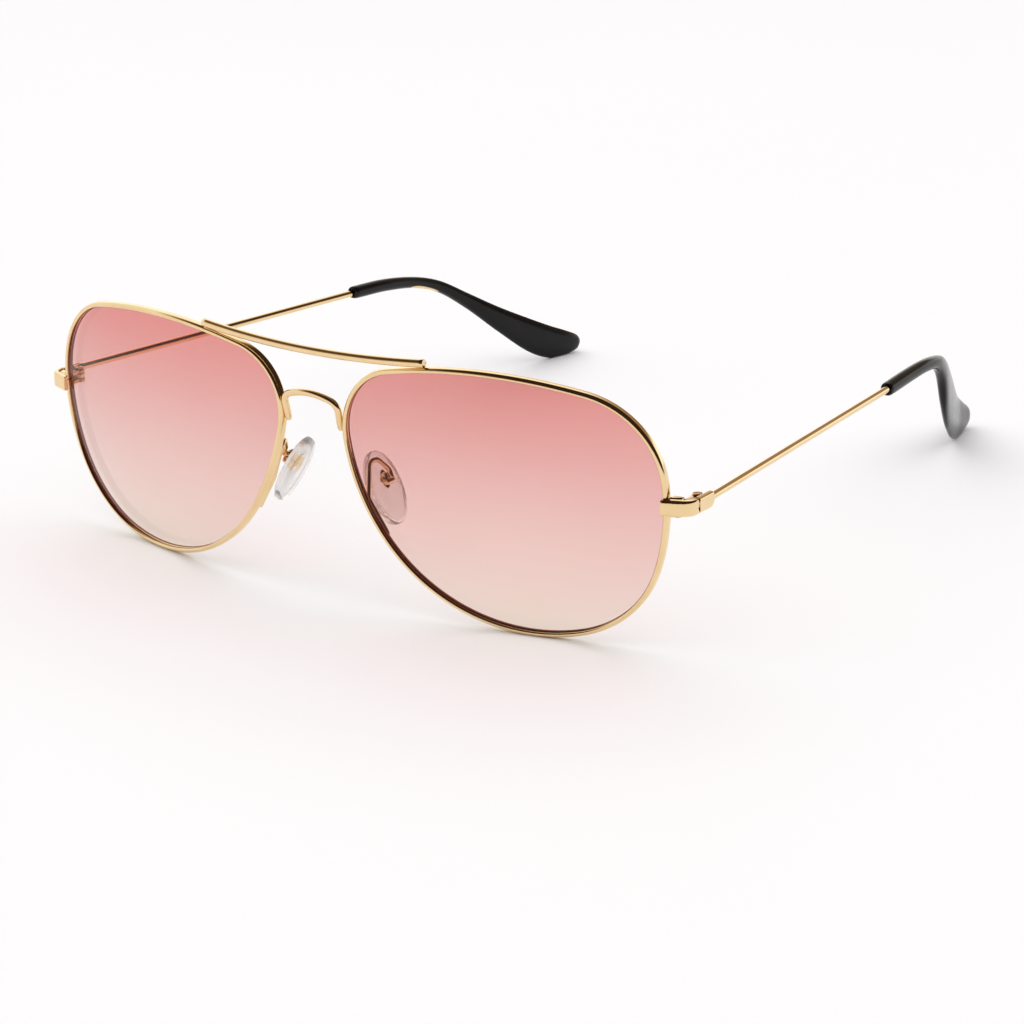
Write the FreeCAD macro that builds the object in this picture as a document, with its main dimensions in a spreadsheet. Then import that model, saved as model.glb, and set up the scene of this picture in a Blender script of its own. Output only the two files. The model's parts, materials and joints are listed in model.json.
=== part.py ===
import FreeCAD, Part
import cmath
import math
import os

from FreeCAD import Placement, Rotation, Vector

# Wire-framed aviator sunglasses, standing open on a level surface on the bottoms of both
# rims and both temple tips. Millimetres; +X is the wearer's left, +Y points back along the
# temples, +Z is up. The origin is the middle of the outer box, at floor level.
# Most sizes are the left half's; SIDES mirrors them across the plane x = 0.

SIZES = {
    # front as a whole
    "front_set": -77.075,        # y of the reference plane that front depths are counted from
    "lens_centre_x": 36.06,
    "lens_centre_y": -1.72,
    "lens_centre_z": 23.373,
    "lens_tilt": 5.0,           # degrees, tops lean forward
    "lens_wrap": 9.03,           # degrees, outer ends swing back
    "lens_curve": 101.2,         # radius of the lens's middle surface
    # lens outline: radii of its tangent arcs, from the outer top corner round to the bottom
    "outer_corner_rad": 16.9,
    "top_edge_rad": 82.15,
    "nose_corner_rad": 11.26,
    "nose_side_rad": 40.56,
    "lower_nose_rad": 34.15,
    "corner_centre_x": 13.6,    # centre of the outer corner's arc, from the lens centre
    "corner_centre_z": 4.49,
    # lens and rim sections
    "lens_front": 0.35,         # lens faces, in front of and behind the middle surface
    "lens_back": 1.05,
    "tongue_height": 0.32,
    "tongue_width": 0.6,
    "rim_width": 0.9,
    "rim_depth": 1.45,
    "rim_set": 0.6,
    "rim_round": 0.3,
    "groove_depth": 0.4,
    "groove_width": 0.7,
    "fit_gap": 0.04,            # between the lens and its rim
    "seat_gap": 0.02,           # between brazed, screwed or seated pieces
    "split_gap": 0.3,           # saw cut of the rim inside its lock
    # bridge and brow bar
    "bridge_dia": 1.25,
    "bridge_set": -2.2,
    "bridge_z": 35.08,
    "bridge_tilt": 14.0,        # degrees, arch leans forward
    "bridge_top": 3.65,
    "bridge_arch_rad": 13.0,
    "bridge_shoulder_rad": 2.0,
    "bridge_leg_x": 5.79,
    "bridge_leg_lean": 1.5,     # degrees
    "bridge_leg_length": 3.6,
    "brow_dia": 1.5,
    "brow_half": 23.9,
    "brow_end_y": -2.0,
    "brow_end_z": 47.46,
    "brow_mid_y": -3.1,
    "brow_mid_z": 46.35,
    # endpiece strap
    "strap_bottom": 25.74,
    "strap_height": 2.8,
    "strap_thick": 0.9,
    "strap_start_x": 65.6,
    "strap_start_y": 6.43,
    "strap_angle": 23.0,        # degrees back from straight across
    "strap_bend_rad": 2.6,
    "strap_outer_x": 70.6,
    "strap_end_y": 10.95,
    "edge_round": 0.18,
    # rim lock
    "lock_bottom": 25.18,
    "lock_split": 26.98,
    "lock_gap": 0.1,            # between the two halves
    "lock_top": 28.78,
    "lock_inner_x": 66.36,
    "lock_outer_x": 68.5,
    "lock_rear_y": 9.7,
    "lock_screw_x": 67.5,
    "lock_screw_y": 9.0,
    "lock_screw_dia": 0.9,
    "lock_head_dia": 1.2,
    "lock_head_height": 0.5,
    "lock_cover": 0.4,          # metal left over the screw's end
    # temple hinge
    "hinge_x": 68.4,
    "hinge_y": 13.9,
    "knuckle_dia": 2.1,
    "knuckle_bottom": 25.43,
    "knuckle_height": 0.75,
    "middle_knuckle": 0.85,
    "knuckle_gap": 0.05,
    "hinge_pin_dia": 1.0,
    "hinge_head_dia": 1.7,
    "hinge_head_height": 0.35,
    "pin_play": 0.05,
    "slot_width": 0.3,
    "slot_depth": 0.2,
    "leaf_front_y": 9.85,
    "leaf_rear_y": 10.85,
    "leaf_inner_x": 67.5,
    "arm_inner_x": 67.7,        # arms from the leaf back to the knuckles
    "arm_outer_x": 69.2,
    "web_front": 0.4,           # middle knuckle's web, ahead of and behind the axis
    "web_back": 1.0,
    "leaf_outer_x": 69.6,
    # temple
    "seam_gap": 0.1,
    "butt_bottom": 25.78,
    "butt_height": 2.7,
    "butt_end_y": 15.6,
    "butt_corner_rad": 1.1,
    "butt_plate_x": 69.6,       # inner face of the butt plate
    "wire_dia": 1.35,
    "tip_play": 0.04,
    "bore_extra": 0.3,          # bore of the tip beyond the end of the wire
    # nose pads
    "pad_hinge_x": 10.85,
    "pad_hinge_y": 4.84,
    "pad_hinge_z": 22.93,
    "pad_tilt": 27.6,           # degrees, pad tops lean to the nose
    "pad_splay": 8.0,           # degrees, pad backs open outwards
    "pad_long": 13.7,
    "pad_wide": 7.6,
    "pad_thick": 2.2,
    "pad_round": 0.85,
    "pad_out": 1.8,             # pad middle from the screw, towards the nose
    "pad_drop": 1.4,            # pad middle below the screw, along the pad
    "insert_long": 6.6,
    "insert_wide": 3.0,
    "insert_thick": 0.35,
    "pocket_gap": 0.05,
    "pin_bore_play": 0.03,
    "lug_wide": 0.8,
    "lug_rad": 0.42,
    "box_wide": 2.4,
    "box_high": 2.4,
    "box_back": 0.9,
    "box_front": 0.45,
    "box_slot": 1.0,
    "box_floor": 0.4,
    "pad_pin_dia": 0.5,
    "pad_head_dia": 1.1,
    "pad_head_height": 0.35,
    "pad_slot_width": 0.25,
    "pad_slot_depth": 0.1,
    "arm_dia": 0.9,
    "arm_out": 0.56,            # foot of the arm, out from the lens outline
    "arm_loop_rad": 1.3,
    "arm_over_x": 9.3,          # top of the loop
    "arm_over_y": 1.6,
    "arm_over_z": 28.28,
}

SIDES = {"left": 1, "right": -1}
ALONG_Y = Vector(0, 1, 0)

# Where the normal of the lens outline stands at the start of each arc, in degrees from
# straight outwards; the last two radii are the ones that close the outline.
ARC_STARTS = (4, 77, 103, 190, 217, 283, 341)
ARC_RADII = ("outer_corner_rad", "top_edge_rad", "nose_corner_rad", "nose_side_rad", "lower_nose_rad")
PRISM_FRONT = -10.0
PRISM_LENGTH = 26.0
SAW_LENGTH = 9.0

# Temple tip, seen from the side: (y, x, top, bottom, half thickness) at stations along it,
# from the mouth over the ear bend to the rounded end of the paddle. Each temple is bent by hand
# to fit its own ear, and the left one turns down later and more steeply.
TIP_STATIONS = {
    "left": (
        (92.3, 62.45, 26.72, 24.42, 1.15),
        (93.0, 62.40, 26.82, 24.22, 1.30),
        (103.0, 61.75, 27.05, 24.45, 1.30),
        (110.0, 61.30, 26.95, 24.45, 1.25),
        (116.0, 60.60, 26.15, 23.40, 1.25),
        (120.5, 59.60, 24.90, 19.80, 1.20),
        (124.8, 58.40, 22.80, 12.90, 1.15),
        (129.5, 56.80, 19.80, 8.00, 1.10),
        (134.3, 55.10, 16.50, 4.80, 1.10),
        (139.0, 53.40, 13.10, 2.20, 1.10),
        (144.0, 51.70, 9.70, 0.35, 1.10),
        (149.5, 50.40, 6.70, 0.06, 1.05),
        (153.5, 49.70, 4.50, 0.70, 0.80),
        (154.7, 49.50, 3.40, 1.70, 0.35),
    ),
    "right": (
        (92.3, 62.45, 27.23, 24.93, 1.15),
        (93.0, 62.40, 27.33, 24.73, 1.30),
        (103.0, 61.75, 26.78, 24.18, 1.30),
        (113.0, 61.10, 25.13, 22.68, 1.25),
        (120.0, 59.80, 22.93, 20.18, 1.20),
        (127.0, 57.60, 19.03, 15.38, 1.15),
        (135.0, 54.90, 14.48, 8.78, 1.10),
        (143.0, 52.40, 10.43, 2.73, 1.10),
        (149.0, 50.75, 7.58, 0.10, 1.10),
        (154.0, 49.60, 5.43, 0.04, 1.05),
        (157.0, 49.05, 3.98, 0.58, 0.80),
        (158.0, 48.90, 2.98, 1.48, 0.35),
    ),
}

# Temple wire: where its straight runs meet, and the radii of the bends between them.
WIRE_RUNS = {
    "left": ((69.77, 15.64, 27.20), (61.78, 102.0, 25.50), (60.50, 116.5, 25.75), (58.25, 124.5, 17.90)),
    "right": ((69.77, 15.64, 27.55), (61.60, 104.0, 25.63), (60.10, 118.5, 21.98), (57.10, 128.5, 16.48)),
}
WIRE_BENDS = {"left": (30.0, 16.0), "right": (30.0, 30.0)}

doc = FreeCAD.newDocument("AviatorSunglasses")
sheet = doc.addObject("Spreadsheet::Sheet", "Sizes")
pieces = []


def fill_sheet():
    for row, (alias, value) in enumerate(SIZES.items(), start=1):
        sheet.set(f"A{row}", alias)
        sheet.set(f"B{row}", str(value))
        sheet.setAlias(f"B{row}", alias)
    doc.recompute()


def size(alias):
    return float(sheet.get(alias))


def spot(side, x, y, z):
    """A place on the given side; y is counted from the front's reference plane."""
    return Vector(side * x, y + size("front_set"), z)


def primitive(kind, name, bindings, place=None):
    shape = doc.addObject(f"Part::{kind}", name)
    for prop, expression in bindings.items():
        shape.setExpression(prop, expression)
    shape.Placement = place or Placement()
    return shape


def cylinder(name, diameter, height, base, axis=Vector(0, 0, 1)):
    place = Placement(base, Rotation(Vector(0, 0, 1), axis))
    return primitive("Cylinder", name, {"Radius": f"({diameter}) / 2", "Height": height}, place)


def box(name, corner, length, width, height):
    return primitive("Box", name, {"Length": length, "Width": width, "Height": height},
                     Placement(corner, Rotation()))


def coded(name, shape):
    """A piece whose shape no standard feature makes."""
    feature = doc.addObject("Part::Feature", name)
    feature.Shape = shape
    return feature


def cut(name, base, tool):
    result = doc.addObject("Part::Cut", name)
    result.Base = base
    result.Tool = tool
    return result


def fuse(name, shapes):
    result = doc.addObject("Part::MultiFuse", name)
    result.Shapes = shapes
    result.Refine = True
    return result


def common(name, shapes):
    result = doc.addObject("Part::MultiCommon", name)
    result.Shapes = shapes
    return result


def fillet(name, base, radius, wanted):
    """Round the edges of base that wanted(edge) picks."""
    doc.recompute()
    edges = [(i, radius, radius) for i, edge in enumerate(base.Shape.Edges, start=1) if wanted(edge)]
    result = doc.addObject("Part::Fillet", name)
    result.Base = base
    result.Edges = edges
    return result


def piece(result, label, place=None):
    """Register a finished sub-part under the name of its file."""
    result.Label = label
    if place is not None:
        result.Placement = place
    pieces.append(result)


def new_body(name):
    return doc.addObject("PartDesign::Body", name)


def sketch(body, name, role, edges):
    """A sketch of the given edges on one of the body's own origin planes."""
    drawing = body.newObject("Sketcher::SketchObject", name)
    plane = next(f for f in body.Origin.OriginFeatures if f.Role == role)
    drawing.AttachmentSupport = [(plane, "")]
    drawing.MapMode = "FlatFace"
    for edge in edges:
        drawing.addGeometry(edge, False)
    return drawing


def pad(body, name, drawing, length, both_ways=False):
    feature = body.newObject("PartDesign::Pad", name)
    feature.Profile = drawing
    feature.setExpression("Length", length)
    if both_ways:
        feature.SideType = "Symmetric"
    return feature


def round_body(body, name, base, radius, wanted):
    doc.recompute()
    picked = [f"Edge{i}" for i, edge in enumerate(base.Shape.Edges, start=1) if wanted(edge)]
    feature = body.newObject("PartDesign::Fillet", name)
    feature.Base = (base, picked)
    feature.setExpression("Radius", radius)
    return feature


def closed_lines(points):
    ends = points[1:] + points[:1]
    return [Part.LineSegment(Vector(*a, 0), Vector(*b, 0)) for a, b in zip(points, ends)]


# --- lenses and rims -----------------------------------------------------------------


def outline_arcs():
    """The outline's arcs as (centre, radius, start, end), with the last two radii solved."""
    turns = [math.radians(a) for a in ARC_STARTS]
    turns.append(turns[0] + 2 * math.pi)
    unit = [cmath.exp(1j * t) for t in turns]
    chords = [b - a for a, b in zip(unit, unit[1:])]
    radii = [size(name) for name in ARC_RADII]
    rest = -sum(r * c for r, c in zip(radii, chords))
    p, q = chords[-2:]
    cross = p.real * q.imag - p.imag * q.real
    radii.append((rest.real * q.imag - rest.imag * q.real) / cross)
    radii.append((p.real * rest.imag - p.imag * rest.real) / cross)
    centre = complex(size("corner_centre_x"), size("corner_centre_z"))
    arcs = []
    for i, radius in enumerate(radii):
        if i:
            centre += (radii[i - 1] - radius) * unit[i]
        arcs.append((centre, radius, turns[i], turns[i + 1]))
    return arcs





def outline_prism(name, side, offset):
    """The lens outline grown by offset, as a prism through the front."""
    edges = []
    for centre, radius, start, end in outline_arcs():
        on_arc = [centre + (radius + offset) * cmath.exp(1j * t) for t in (start, (start + end) / 2, end)]
        edges.append(Part.Arc(*[Vector(side * p.real, PRISM_FRONT, p.imag) for p in on_arc]).toShape())
    face = coded(f"{name}_outline", Part.Face(Part.Wire(Part.__sortEdges__(edges))))
    prism = doc.addObject("Part::Extrusion", name)
    prism.Base = face
    prism.DirMode = "Custom"
    prism.Dir = ALONG_Y
    prism.LengthFwd = PRISM_LENGTH
    prism.Solid = True
    return prism


def curved_layer(name, front, back):
    """The layer between two spheres about one centre, front and back of the lens's middle."""
    centre = Placement(Vector(0, size("lens_curve") + size("rim_set"), 0), Rotation())
    outer = primitive("Sphere", f"{name}_outer", {"Radius": f"Sizes.lens_curve + {front}"}, centre)
    inner = primitive("Sphere", f"{name}_inner", {"Radius": f"Sizes.lens_curve - {back}"}, centre)
    return cut(name, outer, inner)


def lens_place(side):
    turn = Rotation(Vector(1, 0, 0), size("lens_tilt")) * Rotation(Vector(0, 0, 1), side * size("lens_wrap"))
    at = spot(side, size("lens_centre_x"), size("lens_centre_y"), size("lens_centre_z"))
    return Placement(at, turn)


def make_rim(word, side):
    name = f"{word}_rim"
    ring = cut(f"{name}_ring", outline_prism(f"{name}_full", side, size("rim_width")),
               outline_prism(f"{name}_hole", side, 0.0))
    blank = common(f"{name}_blank", [ring, curved_layer(f"{name}_layer", "Sizes.rim_depth / 2",
                                                        "Sizes.rim_depth / 2")])
    doc.recompute()
    ring_faces = [f for f in blank.Shape.Faces if f.Surface.TypeId == "Part::GeomSphere"]

    def ring_edge(edge):
        return any(edge.isSame(e) for face in ring_faces for e in face.Edges)

    rounded = fillet(f"{name}_rounded", blank, size("rim_round"), ring_edge)
    groove_ring = cut(f"{name}_groove_ring", outline_prism(f"{name}_groove_full", side, size("groove_depth")),
                      outline_prism(f"{name}_groove_hole", side, -1.0))
    groove = common(f"{name}_groove", [groove_ring, curved_layer(
        f"{name}_groove_layer", "Sizes.groove_width / 2", "Sizes.groove_width / 2")])
    grooved = cut(f"{name}_grooved", rounded, groove)
    split_z = size("lock_split") - size("lens_centre_z") - size("split_gap") / 2
    reach = size("lock_outer_x") - size("lens_centre_x")
    start = min(side * reach, side * (reach - SAW_LENGTH))
    saw = box(f"{name}_saw", Vector(start, 0, split_z), str(SAW_LENGTH), str(SAW_LENGTH), "Sizes.split_gap")
    piece(cut(name, grooved, saw), name, lens_place(side))


def make_lens(word, side):
    name = f"{word}_lens"
    disc = common(f"{name}_disc", [outline_prism(f"{name}_full", side, -size("fit_gap")),
                                   curved_layer(f"{name}_layer", "Sizes.lens_front", "Sizes.lens_back")])
    tongue = common(f"{name}_tongue", [outline_prism(f"{name}_tongue_full", side, size("tongue_height")),
                                       curved_layer(f"{name}_tongue_layer", "Sizes.tongue_width / 2",
                                                    "Sizes.tongue_width / 2")])
    piece(fuse(name, [disc, tongue]), name, lens_place(side))


def rim_spot(side, degrees, out, back):
    """A place on a rim: outline normal angle, distance out of the outline, depth behind its middle."""
    turn = math.radians(degrees)
    for centre, radius, start, end in outline_arcs():
        if start <= turn <= end:
            on = centre + (radius + out) * cmath.exp(1j * turn)
    curve = size("lens_curve")
    sag = curve - math.sqrt(curve ** 2 - abs(on) ** 2)
    return lens_place(side).multVec(Vector(side * on.real, sag + size("rim_set") + back, on.imag))


# --- bridge and brow bar -------------------------------------------------------------


def swept_round(path, radius):
    """A round wire along a path of tangent lines and arcs."""
    start = path.Edges[0]
    point = start.valueAt(start.FirstParameter)
    heading = start.tangentAt(start.FirstParameter)
    profile = Part.Wire(Part.Circle(point, heading, radius).toShape())
    return path.makePipeShell([profile], True, False)


def make_bridge():
    lean = math.radians(size("bridge_leg_lean"))
    arch, shoulder, top = size("bridge_arch_rad"), size("bridge_shoulder_rad"), size("bridge_top")
    sweep = math.asin((size("bridge_leg_x") - shoulder) / (arch - shoulder))
    centre = Vector((arch - shoulder) * math.sin(sweep), 0,
                    top - arch + (arch - shoulder) * math.cos(sweep))

    def on_shoulder(angle):
        return centre + Vector(math.sin(angle), 0, math.cos(angle)) * shoulder

    leg_top = on_shoulder(math.pi / 2 + lean)
    leg_end = leg_top - Vector(math.sin(lean), 0, math.cos(lean)) * size("bridge_leg_length")
    mid = on_shoulder((math.pi / 2 + lean + sweep) / 2)
    crown = on_shoulder(sweep)

    def mirror(v):
        return Vector(-v.x, v.y, v.z)

    path = Part.Wire([
        Part.LineSegment(leg_end, leg_top).toShape(),
        Part.Arc(leg_top, mid, crown).toShape(),
        Part.Arc(crown, Vector(0, 0, top), mirror(crown)).toShape(),
        Part.Arc(mirror(crown), mirror(mid), mirror(leg_top)).toShape(),
        Part.LineSegment(mirror(leg_top), mirror(leg_end)).toShape(),
    ])
    place = Placement(spot(1, 0, size("bridge_set"), size("bridge_z")),
                      Rotation(Vector(1, 0, 0), size("bridge_tilt")))
    piece(coded("bridge", swept_round(path, size("bridge_dia") / 2)), "bridge", place)


def make_brow_bar():
    ends = [spot(side, size("brow_half"), size("brow_end_y"), size("brow_end_z")) for side in (1, -1)]
    middle = spot(1, 0, size("brow_mid_y"), size("brow_mid_z"))
    path = Part.Wire([Part.Arc(ends[0], middle, ends[1]).toShape()])
    piece(coded("brow_bar", swept_round(path, size("brow_dia") / 2)), "brow_bar")


# --- endpieces, rim locks and hinges ---------------------------------------------------


def strap_edges(side):
    """Plan outline of the endpiece: along the rim's front, round the corner, back to the hinge."""
    thick, bend, outer = size("strap_thick"), size("strap_bend_rad"), size("strap_outer_x")
    angle = math.radians(size("strap_angle"))
    ahead = Vector(math.cos(angle), math.sin(angle), 0)
    back = Vector(-math.sin(angle), math.cos(angle), 0)
    start = Vector(size("strap_start_x"), size("strap_start_y"), 0)
    run = (outer - bend - start.x + bend * math.sin(angle)) / ahead.x
    bend_start = start + ahead * run
    centre = bend_start + back * bend
    end_y = size("strap_end_y")

    def on_bend(radius, turn):
        return centre + Vector(math.sin(turn), -math.cos(turn), 0) * radius

    half = (angle + math.pi / 2) / 2
    corners = [start, bend_start, on_bend(bend, half), Vector(outer, centre.y, 0), Vector(outer, end_y, 0),
               Vector(outer - thick, end_y, 0), Vector(outer - thick, centre.y, 0),
               on_bend(bend - thick, half), on_bend(bend - thick, angle), start + back * thick]
    p = [Vector(side * c.x, c.y + size("front_set"), 0) for c in corners]
    return [Part.LineSegment(p[0], p[1]), Part.Arc(p[1], p[2], p[3]), Part.LineSegment(p[3], p[4]),
            Part.LineSegment(p[4], p[5]), Part.LineSegment(p[5], p[6]), Part.Arc(p[6], p[7], p[8]),
            Part.LineSegment(p[8], p[9]), Part.LineSegment(p[9], p[0])]


def make_endpiece(word, side):
    body = new_body(f"{word}_endpiece")
    plan = sketch(body, f"{word}_strap_plan", "XY_Plane", strap_edges(side))
    strap = pad(body, f"{word}_strap", plan, "Sizes.strap_height")
    round_body(body, f"{word}_strap_round", strap, "Sizes.edge_round", lambda e: e.BoundBox.ZLength < 1e-4)
    piece(body, f"{word}_endpiece", Placement(Vector(0, 0, size("strap_bottom")), Rotation()))


def lock_plan(side):
    """Plan outline of the rim lock, tucked behind the strap and beside the rim."""
    angle = math.radians(size("strap_angle"))
    depth = size("strap_thick") / math.cos(angle) + size("seat_gap")

    def behind_strap(x):
        return size("strap_start_y") + (x - size("strap_start_x")) * math.tan(angle) + depth

    inner, outer, rear = size("lock_inner_x"), size("lock_outer_x"), size("lock_rear_y")
    points = [(inner, behind_strap(inner)), (outer, behind_strap(outer)), (outer, rear), (inner, rear)]
    return [(side * x, y + size("front_set")) for x, y in points]


def lock_half(name, side, bottom, height, rounded_level):
    """One block of a rim lock, its outer face rounded; rounded_level is counted from its bottom."""
    body = new_body(f"{name}_body")
    plan = sketch(body, f"{name}_plan", "XY_Plane", closed_lines(lock_plan(side)))
    block = pad(body, f"{name}_block", plan, str(height))
    round_body(body, f"{name}_round", block, "Sizes.rim_round",
               lambda e: e.BoundBox.ZLength < 1e-4 and abs(e.BoundBox.ZMin - rounded_level) < 1e-4)
    body.Placement = Placement(Vector(0, 0, bottom), Rotation())
    return body


def make_lock(word, side):
    """Two blocks brazed to the ends of the split rim, drawn together by a screw from below."""
    bottom, split, top, gap = (size(a) for a in ("lock_bottom", "lock_split", "lock_top", "lock_gap"))
    foot = spot(side, size("lock_screw_x"), size("lock_screw_y"), bottom)
    lower_height = split - gap / 2 - bottom
    upper_height = top - split - gap / 2
    lower = lock_half(f"{word}_rim_lock_lower", side, bottom, lower_height, 0.0)
    upper = lock_half(f"{word}_rim_lock_upper", side, split + gap / 2, upper_height, upper_height)
    bore = ("Sizes.lock_screw_dia + 2 * Sizes.seat_gap", "Sizes.lock_top - Sizes.lock_bottom - Sizes.lock_cover")
    seat = cylinder(f"{word}_lock_seat", "Sizes.lock_head_dia + 2 * Sizes.fit_gap", "Sizes.lock_head_height", foot)
    cutters = fuse(f"{word}_lock_cutters", [cylinder(f"{word}_lock_lower_bore", *bore, foot), seat])
    piece(cut(f"{word}_lock_lower_cut", lower, cutters), f"{word}_rim_lock_lower")
    upper_bore = cylinder(f"{word}_lock_upper_bore", *bore, foot)
    piece(cut(f"{word}_lock_upper_cut", upper, upper_bore), f"{word}_rim_lock_upper")
    shank = cylinder(f"{word}_lock_shank", "Sizes.lock_screw_dia",
                     "Sizes.lock_top - Sizes.lock_bottom - Sizes.lock_cover - Sizes.seat_gap", foot)
    head = cylinder(f"{word}_lock_head", "Sizes.lock_head_dia", "Sizes.lock_head_height - Sizes.fit_gap", foot)
    piece(fuse(f"{word}_lock_screw_body", [shank, head]), f"{word}_rim_lock_screw")


def knuckle_levels():
    """Heights of the lower, middle and upper knuckles as (bottom, height)."""
    low, tall, middle, gap = (size(a) for a in ("knuckle_bottom", "knuckle_height", "middle_knuckle",
                                                "knuckle_gap"))
    return {"lower": (low, tall), "middle": (low + tall + gap, middle),
            "upper": (low + tall + middle + 2 * gap, tall)}


def plate(name, side, x_range, y_range, z_range):
    """A block between two x, y and z values, given on the left side."""
    (x0, x1), (y0, y1), (z0, z1) = x_range, y_range, z_range
    low = min(side * x0, side * x1)
    return box(name, Vector(low, y0 + size("front_set"), z0), str(x1 - x0), str(y1 - y0), str(z1 - z0))


def make_front_hinge(word, side):
    """Leaf brazed inside the endpiece, with two arms that carry the outer knuckles."""
    levels = knuckle_levels()
    bottom, top = levels["lower"][0], sum(levels["upper"])
    solids = [plate(f"{word}_leaf", side, (size("leaf_inner_x"), size("leaf_outer_x")),
                    (size("leaf_front_y"), size("leaf_rear_y")), (bottom, top))]
    for level in ("lower", "upper"):
        low, tall = levels[level]
        axis = spot(side, size("hinge_x"), size("hinge_y"), low)
        solids.append(cylinder(f"{word}_{level}_knuckle", "Sizes.knuckle_dia", "Sizes.knuckle_height", axis))
        solids.append(plate(f"{word}_{level}_arm", side, (size("arm_inner_x"), size("arm_outer_x")),
                            (size("leaf_front_y"), size("hinge_y")), (low, low + tall)))
    blank = fuse(f"{word}_front_hinge_blank", solids)
    bore = cylinder(f"{word}_front_hinge_bore", "Sizes.hinge_pin_dia + 2 * Sizes.seat_gap",
                    str(top - bottom), spot(side, size("hinge_x"), size("hinge_y"), bottom))
    piece(cut(f"{word}_front_hinge_cut", blank, bore), f"{word}_front_hinge")


def make_hinge_screw(word, side):
    levels = knuckle_levels()
    bottom = levels["lower"][0]
    head_at = sum(levels["upper"]) + size("seat_gap")
    foot = spot(side, size("hinge_x"), size("hinge_y"), bottom)
    shank = cylinder(f"{word}_hinge_shank", "Sizes.hinge_pin_dia", str(head_at - bottom), foot)
    head = cylinder(f"{word}_hinge_head", "Sizes.hinge_head_dia", "Sizes.hinge_head_height",
                    foot + Vector(0, 0, head_at - bottom))
    reach = size("hinge_head_dia")
    slot_low = head_at - bottom + size("hinge_head_height") - size("slot_depth")
    slot = box(f"{word}_hinge_slot", foot + Vector(-reach, -size("slot_width") / 2, slot_low),
               "2 * Sizes.hinge_head_dia", "Sizes.slot_width", "Sizes.slot_depth")
    screw = fuse(f"{word}_hinge_screw_blank", [shank, head])
    piece(cut(f"{word}_hinge_screw_cut", screw, slot), f"{word}_hinge_screw")


# --- temples -------------------------------------------------------------------------


def butt_edges():
    """Side outline of the butt plate, its lower rear corner rounded."""
    low, rad = size("butt_bottom"), size("butt_corner_rad")
    top = low + size("butt_height")
    front = size("strap_end_y") + size("seam_gap") + size("front_set")
    end = size("butt_end_y") + size("front_set")
    centre = Vector(end - rad, low + rad, 0)
    slant = Vector(1, -1, 0).normalize() * rad
    p = [Vector(front, low, 0), Vector(end - rad, low, 0), Vector(end, low + rad, 0), Vector(end, top, 0),
         Vector(front, top, 0)]
    return [Part.LineSegment(p[0], p[1]), Part.Arc(p[1], centre + slant, p[2]), Part.LineSegment(p[2], p[3]),
            Part.LineSegment(p[3], p[4]), Part.LineSegment(p[4], p[0])]


def make_temple_hinge(word, side):
    """Butt plate behind the seam, with the middle knuckle on its inner face."""
    body = new_body(f"{word}_butt_plate")
    outline = sketch(body, f"{word}_butt_outline", "YZ_Plane", butt_edges())
    blank = pad(body, f"{word}_butt", outline, "Sizes.strap_outer_x - Sizes.butt_plate_x")
    round_body(body, f"{word}_butt_round", blank, "Sizes.edge_round", lambda e: e.BoundBox.XLength < 1e-4)
    inner, outer = size("butt_plate_x"), size("strap_outer_x")
    body.Placement = Placement(Vector(min(side * inner, side * outer), 0, 0), Rotation())
    level, height = knuckle_levels()["middle"]
    axis = spot(side, size("hinge_x"), size("hinge_y"), level)
    knuckle = cylinder(f"{word}_middle_knuckle", "Sizes.knuckle_dia", "Sizes.middle_knuckle", axis)
    web = plate(f"{word}_middle_web", side, (size("hinge_x"), (inner + outer) / 2),
                (size("hinge_y") - size("web_front"), size("hinge_y") + size("web_back")), (level, level + height))
    whole = fuse(f"{word}_temple_hinge_blank", [body, knuckle, web])
    bore = cylinder(f"{word}_temple_hinge_bore", "Sizes.hinge_pin_dia + 2 * Sizes.pin_play",
                    "Sizes.middle_knuckle", axis)
    piece(cut(f"{word}_temple_hinge_cut", whole, bore), f"{word}_temple_hinge")


def rounded_path(points, radii):
    """Straight runs between the points, joined by tangent arcs at the inner ones."""
    edges = []
    start = points[0]
    for before, corner, after, radius in zip(points, points[1:], points[2:], radii):
        into = (corner - before).normalize()
        out = (after - corner).normalize()
        turn = into.getAngle(out)
        reach = radius * math.tan(turn / 2)
        first, last = corner - into * reach, corner + out * reach
        inward = (out - into).normalize()
        middle = corner + inward * (radius / math.cos(turn / 2) - radius)
        edges.append(Part.LineSegment(start, first).toShape())
        edges.append(Part.Arc(first, middle, last).toShape())
        start = last
    edges.append(Part.LineSegment(start, points[-1]).toShape())
    return Part.Wire(edges)


def wire_path(word, side, beyond=0.0):
    """Centre line of the temple wire, its rear end drawn out by the given length."""
    points = [spot(side, *point) for point in WIRE_RUNS[word]]
    points[-1] += (points[-1] - points[-2]).normalize() * beyond
    return rounded_path(points, WIRE_BENDS[word])


def make_temple_wire(word, side):
    piece(coded(f"{word}_temple_wire", swept_round(wire_path(word, side), size("wire_dia") / 2)),
          f"{word}_temple_wire")


def tip_section(side, y, x, top, bottom, half_thick):
    """An upright oval across the temple tip."""
    centre = spot(side, x, y, (top + bottom) / 2)
    half_high = (top - bottom) / 2
    if half_high >= half_thick:
        oval = Part.Ellipse(centre + Vector(0, 0, half_high), centre + Vector(half_thick, 0, 0), centre)
    else:
        oval = Part.Ellipse(centre + Vector(half_thick, 0, 0), centre + Vector(0, 0, half_high), centre)
    return Part.Wire(oval.toShape())


def make_temple_tip(word, side):
    sections = [tip_section(side, *station) for station in TIP_STATIONS[word]]
    solid = coded(f"{word}_tip_solid", Part.makeLoft(sections, True, False))
    core = coded(f"{word}_tip_core", swept_round(wire_path(word, side, size("bore_extra")),
                                                 size("wire_dia") / 2 + size("tip_play")))
    piece(cut(f"{word}_tip_bored", solid, core), f"{word}_temple_tip")


# --- nose pads -------------------------------------------------------------------------


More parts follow.
